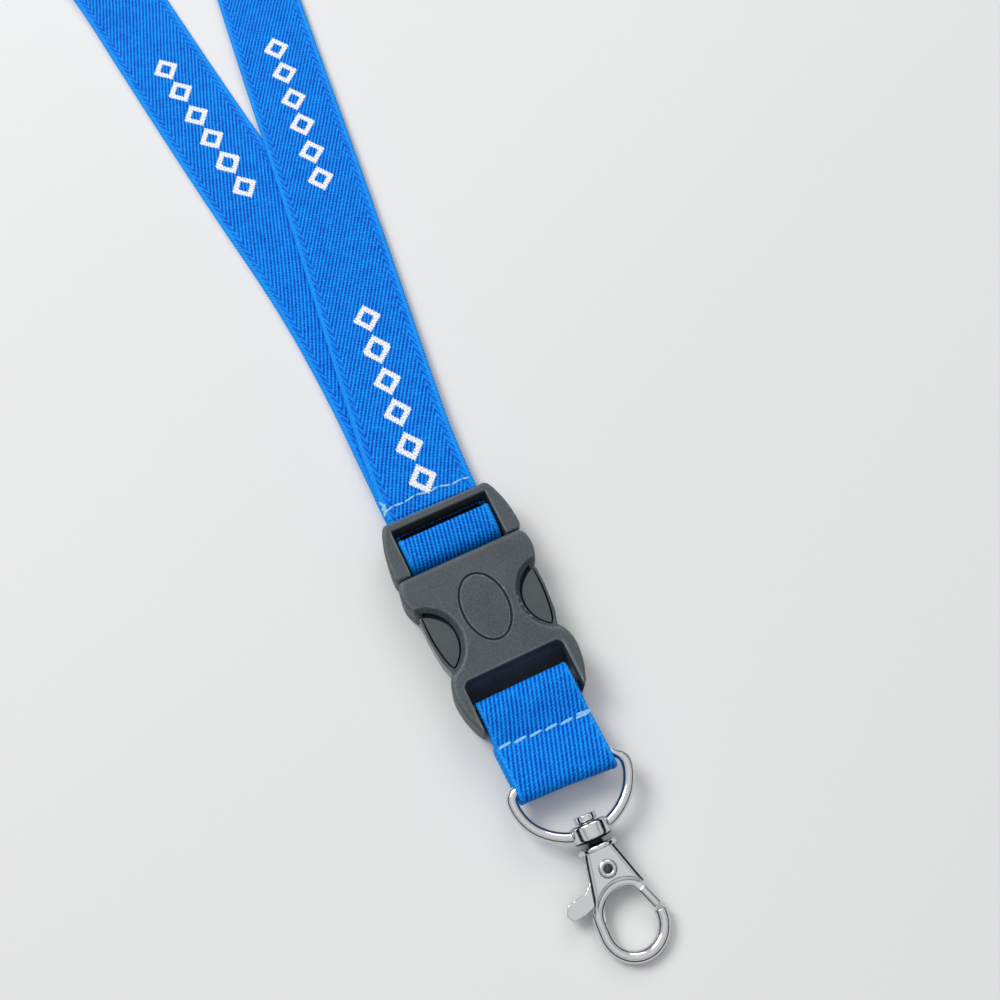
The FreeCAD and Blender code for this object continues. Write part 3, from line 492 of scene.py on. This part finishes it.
strap_end = webbing("strap_end", end_line, start=END_UNDER - end_long / MM, side=ACROSS,
                    warp=end_warp)
strap_end.data.materials.append(plain_webbing)
strap_end.data.materials.append(printed_webbing)
strap_end.data.materials.append(webbing_in_painted_shade)
# Faces past the bar get the print; those in the gap behind the crest get the painted shade.
for face in strap_end.data.polygons:
    y, z = face.center.y / MM, face.center.z / MM
    faces_back = face.normal.y > 0.45 or z < CREST_BACK_TOP
    if y > BEHIND_CREST and z > TAIL_TOP and (y > PAST_BAR or faces_back):
        face.material_index = 1 if y > PAST_BAR else 2
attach(strap_end, "strap_half")
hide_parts("strap_end_fold")


# ---------------------------------------------------------------- upper seam
# One row of bonded polyester thread, in a lighter blue, locks the tail to the strap; it is run
# twice at the left edge. Each stitch is a short two-ply thread that dips into the webbing.
THREAD = 0.15 * MM                # radius of one strand; two lie side by side in a stitch
PLY_SWELL, PLY_TWIST = 0.14, 26   # the two plies' relief, and their turn along a stitch

thread_dye, tree, surface = shader("bonded_polyester_thread", Roughness=0.5)
fuzz = mottled(tree, surface, 2400.0, 2.0, "#2FA2EA", "#BEE6FB")
bump = node(tree, "ShaderNodeBump", {"Height": fuzz, "Strength": 0.4, "Distance": 0.05 * MM})
tree.links.new(bump.outputs["Normal"], surface.inputs["Normal"])


def stitch(name, start, end, bow=0.0, radius=THREAD):
    """One two-ply stitch from hole to hole; bow is its sideways sag."""
    along = end - start
    heading = along.normalized()
    sideways = Vector((0, 0, 1)).cross(heading)
    rows, columns = 14, 12

    def position(column, row):
        share = row / rows
        arch = math.sin(math.pi * share)           # out of one hole and into the next
        middle = start + along * share + sideways * (bow * arch)
        middle.z += radius * (1.2 * min(1.0, 2.2 * arch) - 1.5)
        angle = 2 * math.pi * column / columns
        ply = 1 + PLY_SWELL * math.cos(2 * angle - PLY_TWIST * share)
        reach = radius * ply * (0.55 + 0.45 * min(1.0, 3 * arch))
        return middle + (sideways * math.cos(angle) + Vector((0, 0, 1)) * math.sin(angle)) * reach

    return wrapped(name, columns, rows, position)


def joined(name, parts):
    """One piece from several objects."""
    mesh = bmesh.new()
    for part in parts:
        mesh.from_mesh(part.data)
        bpy.data.objects.remove(part)
    data = bpy.data.meshes.new(name)
    mesh.to_mesh(data)
    mesh.free()
    return placed(name, data)


def seam(name, stitches, spread, radius, material):
    """A row of stitches of two strands each; a stitch is its two holes, (x, y, z) in mm."""
    strands = []
    for number, (a, b) in enumerate(stitches):
        for side in (-1, 1):
            bow = side * spread * (1 + 0.35 * math.sin(2.1 * number + side)) * MM
            strands.append(stitch(f"{name}_{number}", Vector(a) * MM, Vector(b) * MM, bow, radius))
    row = joined(name, strands)
    row.data.materials.append(material)
    return row


UPPER_TOP = 3.14                  # the strap's upper face at the seam
UPPER_HOLES = [(-9.7, 30.7), (-7.2, 31.5), (-4.9, 31.2), (-2.2, 31.8), (0.5, 31.1), (3.0, 31.5),
               (5.6, 30.6), (8.2, 30.9), (9.7, 30.5)]
LOCK_HOLES = [(-9.6, 33.6), (-8.7, 31.6), (-9.9, 30.0), (-8.6, 32.7), (-9.8, 31.4)]
upper_seam = seam("upper_seam_thread", [
    ((a[0], a[1], UPPER_TOP), (b[0], b[1], UPPER_TOP))
    for holes in (UPPER_HOLES, LOCK_HOLES) for a, b in zip(holes, holes[1:])],
    0.11, THREAD, thread_dye)
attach(upper_seam, "strap_half")
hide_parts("upper_seam")


# ---------------------------------------------------------------- buckle mouldings
# The socket and the plug are injection-moulded acetal with a fine spark-eroded grain, soft rims
# and corners painted a little paler, partly wear and partly painted highlight. The socket's face
# carries one fine engraved oval.
def moulded(node_name, name, grain, passes):
    """A casting of a CAD node: its surface remade in even steps of grain mm, then softened."""
    data = frame["nodes"][node_name].data.copy()
    mesh = bmesh.new()
    mesh.from_mesh(data)
    bmesh.ops.remove_doubles(mesh, verts=mesh.verts, dist=1e-6)
    bmesh.ops.scale(mesh, verts=mesh.verts, vec=(1 / MM, 1 / MM, 1 / MM))
    mesh.to_mesh(data)
    mesh.free()
    rough = placed(name, data)
    skin = rough.modifiers.new("skin", "REMESH")
    skin.mode = "VOXEL"
    skin.voxel_size = grain
    soft = rough.modifiers.new("soft", "SMOOTH")
    soft.factor = 0.5
    soft.iterations = passes
    made = bpy.data.meshes.new_from_object(
        rough.evaluated_get(bpy.context.evaluated_depsgraph_get()))
    bpy.data.objects.remove(rough)
    mesh = bmesh.new()
    mesh.from_mesh(made)
    bmesh.ops.scale(mesh, verts=mesh.verts, vec=(MM, MM, MM))
    mesh.to_mesh(made)
    mesh.free()
    made.materials.clear()
    return placed(name, made)


CUT_ANGLE = math.radians(38)      # a sharper edge than this stays crisp


def engraved(piece, cutter):
    """Cut the cutter's shape out of a piece, as its second material, and drop the cutter."""
    for face in cutter.data.polygons:
        face.material_index = 1
    cut = piece.modifiers.new("cut", "BOOLEAN")
    cut.operation = "DIFFERENCE"
    cut.solver = "EXACT"
    cut.object = cutter
    made = bpy.data.meshes.new_from_object(
        piece.evaluated_get(bpy.context.evaluated_depsgraph_get()))
    piece.modifiers.clear()
    piece.data = made
    bpy.data.objects.remove(cutter)
    for face in made.polygons:
        face.use_smooth = True
    made.set_sharp_from_angle(angle=CUT_ANGLE)


# Spark-eroded acetal: a fine grain, and convex rims near the top painted paler, partly wear and
# partly painted highlight.
WEAR_AND_HIGHLIGHT_FROM, WEAR_AND_HIGHLIGHT_FULL = 7.7 * MM, 8.6 * MM
grained_acetal, tree, surface = shader("spark_eroded_acetal", Roughness=0.48)
surface.inputs["Specular IOR Level"].default_value = 0.45
place = node(tree, "ShaderNodeTexCoord").outputs["Object"]
grit = node(tree, "ShaderNodeTexNoise", {
    "Vector": place, "Scale": 4200.0, "Detail": 2.0, "Roughness": 0.6})    # 0.25 mm grain
cloud = node(tree, "ShaderNodeTexNoise", {"Vector": place, "Scale": 160.0, "Detail": 3.0})
mixed = node(tree, "ShaderNodeMath", {0: grit.outputs["Fac"], 1: 0.85, 2: 0.12},
             operation="MULTIPLY_ADD")
mixed = node(tree, "ShaderNodeMath", {0: cloud.outputs["Fac"], 1: 0.2, 2: mixed.outputs[0]},
             operation="MULTIPLY_ADD")
tone = node(tree, "ShaderNodeValToRGB", {"Fac": mixed.outputs[0]})
tone.color_ramp.elements[0].position, tone.color_ramp.elements[0].color = 0.44, srgb("#22282C")
tone.color_ramp.elements[1].position, tone.color_ramp.elements[1].color = 0.80, srgb("#4D555B")
bend = node(tree, "ShaderNodeNewGeometry").outputs["Pointiness"]
# Convex edges near the top are painted paler: partly wear, partly painted highlight.
rim_wear_and_highlight = node(tree, "ShaderNodeMapRange", {
    "Value": bend, "From Min": 0.505, "From Max": 0.545, "To Min": 0.0, "To Max": 0.9})
height = node(tree, "ShaderNodeSeparateXYZ", {"Vector": place}).outputs["Z"]
exposed = node(tree, "ShaderNodeMapRange", {
    "Value": height, "From Min": WEAR_AND_HIGHLIGHT_FROM, "From Max": WEAR_AND_HIGHLIGHT_FULL})
wear_and_highlight = node(tree, "ShaderNodeMath", {0: rim_wear_and_highlight.outputs["Result"], 1: grit.outputs["Fac"]},
            operation="MULTIPLY")
wear_and_highlight = node(tree, "ShaderNodeMath", {0: wear_and_highlight.outputs[0], 1: exposed.outputs["Result"]},
            operation="MULTIPLY")
rim = node(tree, "ShaderNodeMix", {
    "Factor": wear_and_highlight.outputs[0], "A": tone.outputs["Color"], "B": srgb("#9DA8A6")},
    data_type="RGBA")
tree.links.new(rim.outputs["Result"], surface.inputs["Base Color"])
bump = node(tree, "ShaderNodeBump", {
    "Height": grit.outputs["Fac"], "Strength": 0.8, "Distance": 0.09 * MM})
tree.links.new(bump.outputs["Normal"], surface.inputs["Normal"])

# The same acetal down in a cut line, painted nearly black: painted shade in the groove.
groove_acetal_in_painted_shade, tree, surface = shader("acetal_painted_dark_in_a_groove", Roughness=0.8)
mottled(tree, surface, 2600.0, 2.0, "#0B0C0E", "#1C1F22")

socket = moulded("buckle_socket", "socket_moulding", 0.21, 10)
MARK_AT = (0.0, 2.2)              # the oval's middle, x and y in mm
MARK_HALF = (4.6, 7.1)
MARK_LINE = 0.27                  # radius of the tool that cuts the line
MARK_STEPS, TOOL_SIDES = 96, 10
socket_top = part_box("buckle_socket")[1].z / MM


def oval_tool(column, row):
    """A thin tube bent to the oval, half sunk in the socket's face."""
    turn, angle = 2 * math.pi * row / MARK_STEPS, 2 * math.pi * column / TOOL_SIDES
    reach = MARK_LINE * math.cos(angle)
    return Vector((MARK_AT[0] + (MARK_HALF[0] + reach) * math.cos(turn),
                   MARK_AT[1] + (MARK_HALF[1] + reach) * math.sin(turn),
                   socket_top + MARK_LINE * math.sin(angle))) * MM


socket.data.materials.append(grained_acetal)
socket.data.materials.append(groove_acetal_in_painted_shade)
# The oval's cut line is painted near black as shade.
engraved(socket, wrapped("oval_tool", TOOL_SIDES, MARK_STEPS, oval_tool))
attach(socket, "socket_half")
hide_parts("buckle_socket")

plug = moulded("buckle_plug", "plug_moulding", 0.2, 12)
plug.data.materials.append(grained_acetal)
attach(plug, "strap_half")
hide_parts("buckle_plug")


# ---------------------------------------------------------------- prongs
# The plug's two springy prongs are the same acetal, with their press pads polished smooth in the
# mould. A fine shut-off line follows each pad's outer edge.
pad_acetal, tree, surface = shader("smooth_acetal", Roughness=0.24)
cloud = mottled(tree, surface, 350.0, 4.0, "#3A4043", "#4A5053")
bump = node(tree, "ShaderNodeBump", {"Height": cloud, "Strength": 0.15, "Distance": 0.05 * MM})
tree.links.new(bump.outputs["Normal"], surface.inputs["Normal"])

PAD_LINE = [                      # x, y and half the width of the shut-off line, in mm
    (12.1, 5.5, 0.12), (12.12, 3.5, 0.16), (12.1, 1.5, 0.2), (11.95, -0.5, 0.2),
    (11.7, -2.3, 0.2), (11.4, -3.9, 0.2), (11.0, -5.3, 0.2), (10.4, -6.3, 0.14),
]
WINDOW_AT = (13.55, -0.3)         # the side window's middle, and its half sizes
WINDOW_HALF = (6.3, 6.9)
GAP_TURNS = range(84, -64, -6)    # degrees round the window, from its top by way of its inside
GAP_FINE, GAP_MORE = 0.26, 0.5    # mm, the gap along the inside, and what the top adds to it
GAP_GROWS = (5, 60)               # degrees round the window between which it widens
GAP_OUT = 0.2                     # mm that the cut runs past the window's edge
BLADE_HIGH, BLADE_DEEP = 0.6, 0.9      # mm that a cutting blade reaches above and below the face


def gap_wide(turn):
    """The gap between pad and window: wide at the top, fine along the inside."""
    low, high = GAP_GROWS
    return GAP_FINE + GAP_MORE * smooth((turn - low) / (high - low))


def at_window(turn, inset):
    """A point inset from the window's edge, in mm."""
    turn = math.radians(turn)
    return (WINDOW_AT[0] - (WINDOW_HALF[0] - inset) * math.cos(turn),
            WINDOW_AT[1] + (WINDOW_HALF[1] - inset) * math.sin(turn))


shut_off = [((x - half, y), (x + half, y)) for x, y, half in PAD_LINE]
pad_gap = [(at_window(turn, gap_wide(turn)), at_window(turn, -GAP_OUT)) for turn in GAP_TURNS]
for hand, node_name in ((-1, "prong_left"), (1, "prong_right")):
    prong = moulded(node_name, f"{node_name}_moulding", 0.13, 5)
    pad_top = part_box(node_name)[1].z

    prong.data.materials.append(pad_acetal)
    prong.data.materials.append(groove_acetal_in_painted_shade)
    # The shut-off line and the gap round the pad are cut and painted near black as shade.
    for sides in (shut_off, pad_gap):
        def blade(column, row):
            """A blade along a line on the pad: its two sides, above and below the face."""
            x, y = sides[row][1 if column in (1, 2) else 0]
            high = BLADE_HIGH if column in (2, 3) else -BLADE_DEEP
            return Vector((hand * x * MM, y * MM, pad_top + high * MM))

        engraved(prong, wrapped("blade", 4, len(sides) - 1, blade))
    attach(prong, "left_prong" if hand < 0 else "right_prong")
    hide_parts(node_name)


# ---------------------------------------------------------------- lower strap
# A short loop of the same webbing round the socket's bar and the D ring. Its ends overlap under
# one seam, which draws the top layer down into a groove; the fold at the ring sits aslant.
LOWER_ROUTE = [                   # y, z of the middle line from the inner end, in mm
    (-26.5, 4.95), (-24.5, 4.95), (-22.4, 4.85), (-20.6, 3.4), (-18.4, 2.35), (-16.0, 2.2),
    (-14.3, 2.6), (-13.9, 4.5), (-14.3, 6.5), (-16.2, 7.05), (-18.6, 6.95), (-21.0, 6.45),
    (-22.9, 6.12), (-24.0, 5.72), (-25.2, 6.1), (-27.2, 6.45), (-29.4, 6.75), (-31.8, 6.95),
    (-33.6, 6.85), (-34.5, 6.1), (-34.6, 4.95), (-34.5, 3.8), (-33.6, 3.0), (-31.6, 2.9),
    (-29.0, 3.3), (-26.5, 3.85), (-23.2, 3.9),
]
LOWER_WIDE = 19.4 * MM
LOWER_SHIFT = -0.2 * MM
SEAM_SLOPE = -0.07                # the seam runs a little lower on the right
FOLD_SLOPE = -0.10                # and the fold more so
SEAM_FROM, SEAM_OVER = 19.0, 5.0  # mm below the buckle's middle, where each slant sets in, and
FOLD_FROM, FOLD_OVER = 25.0, 9.0  # the length it takes to do so
UNDER_TOP, UNDER_FROM = 4.9, 21.0        # the under layer: its top, and where it begins to show
UNDER_OUT = 0.55 * MM             # how far it shows on the left


def lower_warp(point, here):
    """Slant the seam and the fold, and let the under layer show on the left."""
    x, y, z = point
    depth = min(max((-y / MM - SEAM_FROM) / SEAM_OVER, 0.0), 1.0)
    far = min(max((-y / MM - FOLD_FROM) / FOLD_OVER, 0.0), 1.0)
    slope = SEAM_SLOPE * depth + (FOLD_SLOPE - SEAM_SLOPE) * far
    if x < 0:
        slope *= 1 - 0.5 * far
    y += slope * x
    under = smooth((UNDER_TOP - z / MM) / 0.6) * smooth((-y / MM - UNDER_FROM) / 3.0)
    x -= UNDER_OUT * under * (1 - 0.6 * far)
    return Vector((x + LOWER_SHIFT, y, z))


lower_line = spline_points([Vector((0, y, z)) * MM for y, z in LOWER_ROUTE])
lower_strap = webbing("lower_strap_loop", lower_line, wide=LOWER_WIDE, side=ACROSS,
                      warp=lower_warp)
lower_strap.data.materials.append(
    polyester_webbing("woven_polyester_at_the_ring", LOWER_LEAN, END_FIELD, False))
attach(lower_strap, "socket_half")
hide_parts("lower_strap")

LOWER_TOP = 6.28                  # the top layer's face in the seam's groove
STITCH_LONG = 3.1
STITCH_SLANT = (-0.16, 0.1)       # mm that a stitch's ends lie off the seam's line
SEAM_AT = -24.0                   # y of the seam's middle
lower_stitches = []
for x in (-9.6, -6.45, -3.3, -0.15, 3.0, 6.15):
    y = SEAM_AT + SEAM_SLOPE * (x + 1.4)
    lower_stitches.append(((x, y + STITCH_SLANT[0], LOWER_TOP),
                           (x + STITCH_LONG, y + STITCH_SLANT[1], LOWER_TOP)))
lower_stitches += [               # two more lock the seam at its right end
    ((6.6, -24.1, LOWER_TOP + 0.1), (9.7, -24.5, LOWER_TOP + 0.1)),
    ((7.6, -24.9, LOWER_TOP + 0.12), (9.8, -24.3, LOWER_TOP + 0.14))]
lower_seam = seam("lower_seam_thread", lower_stitches, 0.14, 1.1 * THREAD, thread_dye)
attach(lower_seam, "socket_half")
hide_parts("lower_seam")


# ---------------------------------------------------------------- D ring and hook
# Zinc castings, tumbled and bright nickel plated: nearly a mirror, with soft edges and a faint
# waviness. The ring's wire runs into a barrel boss that the hook's post turns in.
def hazy(tree, surface, scale, detail, least, most):
    """Let a surface's roughness wander between two values."""
    place = node(tree, "ShaderNodeTexCoord").outputs["Object"]
    haze = node(tree, "ShaderNodeTexNoise", {"Vector": place, "Scale": scale, "Detail": detail})
    gloss = node(tree, "ShaderNodeMapRange", {
        "Value": haze.outputs["Fac"], "To Min": least, "To Max": most})
    tree.links.new(gloss.outputs["Result"], surface.inputs["Roughness"])


bright_nickel, tree, surface = shader("nickel_plated_zinc", Metallic=1.0, Roughness=0.13)
surface.inputs["Base Color"].default_value = srgb("#D3D3D4")
place = node(tree, "ShaderNodeTexCoord").outputs["Object"]
waves = node(tree, "ShaderNodeTexNoise", {"Vector": place, "Scale": 420.0, "Detail": 2.0})
bump = node(tree, "ShaderNodeBump", {
    "Height": waves.outputs["Fac"], "Strength": 0.25, "Distance": 0.12 * MM})
tree.links.new(bump.outputs["Normal"], surface.inputs["Normal"])
hazy(tree, surface, 2500.0, 2.0, 0.08, 0.2)

# The swivel's post and the boss's foot are painted dark: painted shade in the gap between them.
zinc_in_painted_shade, tree, surface = shader("zinc_in_painted_shade", Metallic=0.6, Roughness=0.35)
mottled(tree, surface, 1500.0, 2.0, "#08090B", "#24272B")

joints = {joint["name"]: joint for joint in frame["joints"]}
CLASP_AT = Vector(joints["ring_swing"]["pos_m"])
CLASP_ACROSS = Vector(joints["ring_swing"]["axis"]).normalized()
CLASP_UP = -Vector(joints["gate_open"]["axis"]).normalized()
CLASP_DOWN = CLASP_ACROSS.cross(CLASP_UP)        # from the D ring's bar towards the hook


def on_clasp(point):
    """Across, down and up on the clasp, in mm from the middle of the D ring's bar."""
    arm = (point - CLASP_AT) / MM
    return arm.dot(CLASP_ACROSS), arm.dot(CLASP_DOWN), arm.dot(CLASP_UP)


PLATE_HEAD, PLATE_FOOT = 15.4, 27.4      # the hook's plate, down the clasp, in mm
HEAD_HALF, FOOT_HALF = 2.9, 6.05
PLATE_HIGH, PLATE_FALL = 2.2, 0.3        # its face at the head, and how far it falls to the foot
EYE_SHIFT = 0.6                          # the eye's middle, to the right of the rivet
EYE_HALF = 4.4                           # half its width
EYE_UPPER, EYE_LOWER = 27.5, 29.9        # the middles of its two round ends
SLOT_HALF = 0.85                         # half the lever's slot in the plate
WIRE_TOP = 1.2                           # the radius of the hook's wire
SIDE_ROUND, SIDE_DROP = 1.3, 0.6         # the rounding of the plate's sides
CROWN = 0.12
RIM_WIDE, RIM_RISE = 1.05, 0.9           # the rim round the eye, and the step up from it
RAMP_LONG, RAMP_END = 5.5, 0.4           # the plate's run-out, and its end above the foot
WIRE_FROM = 22.5                         # where the plate begins to turn into wire


def plate_height(across, down, face):
    """How high the plate's face stands: crowned, and rounded over at its sides and the eye."""
    share = min(max((down - PLATE_HEAD) / (PLATE_FOOT - PLATE_HEAD), 0.0), 1.0)
    half = HEAD_HALF + (FOOT_HALF - HEAD_HALF) * share
    to_side = max(half - abs(across - EYE_SHIFT * share), 0.0)
    crowned = face - SIDE_DROP * (1 - min(to_side / SIDE_ROUND, 1.0)) ** 2
    crowned -= CROWN * (1 - to_side / half) ** 2
    eye_near = min(max(down, EYE_UPPER), EYE_LOWER)
    to_eye = max(math.hypot(across - EYE_SHIFT, down - eye_near) - EYE_HALF, 0.0)
    rim = SLOT_HALF + (WIRE_TOP - SLOT_HALF) * math.sqrt(1 - (1 - min(to_eye, 1.0)) ** 2)
    rim += (face - WIRE_TOP) * smooth((to_eye - RIM_WIDE) / RIM_RISE)
    ramp = WIRE_TOP + (face - WIRE_TOP) * smooth((PLATE_FOOT - RAMP_END - down) / RAMP_LONG)
    high = min(crowned, rim, ramp)
    wire = math.sqrt(max(WIRE_TOP ** 2 - (to_eye - WIRE_TOP) ** 2, 0.04))
    return high + (min(high, wire) - high) * smooth((down - WIRE_FROM) / (PLATE_FOOT - WIRE_FROM))


POST_DARK = (13.2, 14.35)         # down the clasp in mm, the part of the post painted dark as shade
FOOT_DARK = 13.15                 # and of the boss's foot
CORNER_SAG = 1.1                  # mm that the ring's right corner is bent down
CORNER_FROM, CORNER_WIDE = 8.8, 2.2      # across the clasp, where the bend sets in
CORNER_LONG = 7.0                 # down the clasp, where it ends
for node_name, body, grain, passes in (
        ("d_ring", "ring", 0.11, 6), ("hook_body", "hook", 0.12, 6),
        ("gate_lever", "gate", 0.08, 20)):
    casting = moulded(node_name, f"{node_name}_casting", grain, passes)
    casting.data.materials.append(bright_nickel)
    casting.data.materials.append(zinc_in_painted_shade)
    if node_name == "hook_body":
        for vertex in casting.data.vertices:
            across, down, up = on_clasp(vertex.co)
            if PLATE_HEAD < down < PLATE_FOOT + 1.5 and abs(up) > SLOT_HALF:
                share = min((down - PLATE_HEAD) / (PLATE_FOOT - PLATE_HEAD), 1.0)
                flat = PLATE_HIGH - PLATE_FALL * share
                high = max(plate_height(across, down, flat), SLOT_HALF)
                sink = max(abs(up) - high, 0.0)
                vertex.co -= CLASP_UP * (sink * (1 if up > 0 else -1) * MM)
    if node_name == "d_ring":
        for vertex in casting.data.vertices:
            across, down, up = on_clasp(vertex.co)
            sag = CORNER_SAG * smooth((across - CORNER_FROM) / CORNER_WIDE)
            sag *= smooth((CORNER_LONG - down) / CORNER_LONG)
            vertex.co += CLASP_DOWN * (sag * MM)
    # The post between boss and collar, and the boss's foot, are painted dark as shade.
    if node_name != "gate_lever":
        for face in casting.data.polygons:
            across, down, up = on_clasp(face.center)
            at_post = node_name == "hook_body" and POST_DARK[0] < down < POST_DARK[1]
            at_foot = node_name == "d_ring" and down > FOOT_DARK
            if at_post or at_foot:
                face.material_index = 1
    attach(casting, body)
    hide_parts(node_name)


# ---------------------------------------------------------------- pivot rivet and spring
# A hollow steel rivet, rolled over into a rounded ring on both faces of the hook, and the wire
# spring round it that closes the gate. Both are zinc-plated steel, a little duller.
plated_steel, tree, surface = shader("zinc_plated_steel", Metallic=1.0, Roughness=0.25)
surface.inputs["Base Color"].default_value = srgb("#C9CACC")
hazy(tree, surface, 1800.0, 3.0, 0.16, 0.36)

RIVET_HEAD = 1.75                 # radius of its rolled heads, in mm
RIVET_SHANK = 1.22
RIVET_BORE = 0.78
RIVET_HALF = 2.6                  # half its length between the heads' tops
rivet_joint = joints["gate_open"]
rivet_mesh = bmesh.new()
profile = [(RIVET_BORE, -RIVET_HALF + 0.3), (RIVET_BORE + 0.15, -RIVET_HALF + 0.05),
           (RIVET_BORE + 0.4, -RIVET_HALF), (RIVET_HEAD - 0.15, -RIVET_HALF + 0.12),
           (RIVET_HEAD, -RIVET_HALF + 0.4), (RIVET_SHANK, -RIVET_HALF + 0.45)]
profile += [(radius, -height) for radius, height in reversed(profile)]
rim = [rivet_mesh.verts.new((radius, 0, height)) for radius, height in profile]
edges = [rivet_mesh.edges.new(pair) for pair in zip(rim, rim[1:] + rim[:1])]
bmesh.ops.spin(rivet_mesh, geom=rim + edges, cent=(0, 0, 0), axis=(0, 0, 1), dvec=(0, 0, 0),
               angle=2 * math.pi, steps=48, use_merge=True)
bmesh.ops.remove_doubles(rivet_mesh, verts=rivet_mesh.verts, dist=1e-5)
bmesh.ops.recalc_face_normals(rivet_mesh, faces=rivet_mesh.faces)
leaning = Vector(rivet_joint["axis"]).to_track_quat("Z", "Y").to_matrix()
bmesh.ops.scale(rivet_mesh, verts=rivet_mesh.verts, vec=(MM, MM, MM))
bmesh.ops.rotate(rivet_mesh, verts=rivet_mesh.verts, cent=(0, 0, 0), matrix=leaning)
bmesh.ops.translate(rivet_mesh, verts=rivet_mesh.verts, vec=rivet_joint["pos_m"])
rivet_data = bpy.data.meshes.new("rolled_rivet")
rivet_mesh.to_mesh(rivet_data)
rivet_mesh.free()
rivet = placed("rolled_rivet", rivet_data)
rivet.data.materials.append(plated_steel)
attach(rivet, "hook")
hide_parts("pivot_rivet")

spring = frame["nodes"]["gate_spring"]
spring.data.materials.clear()
spring.data.materials.append(plated_steel)
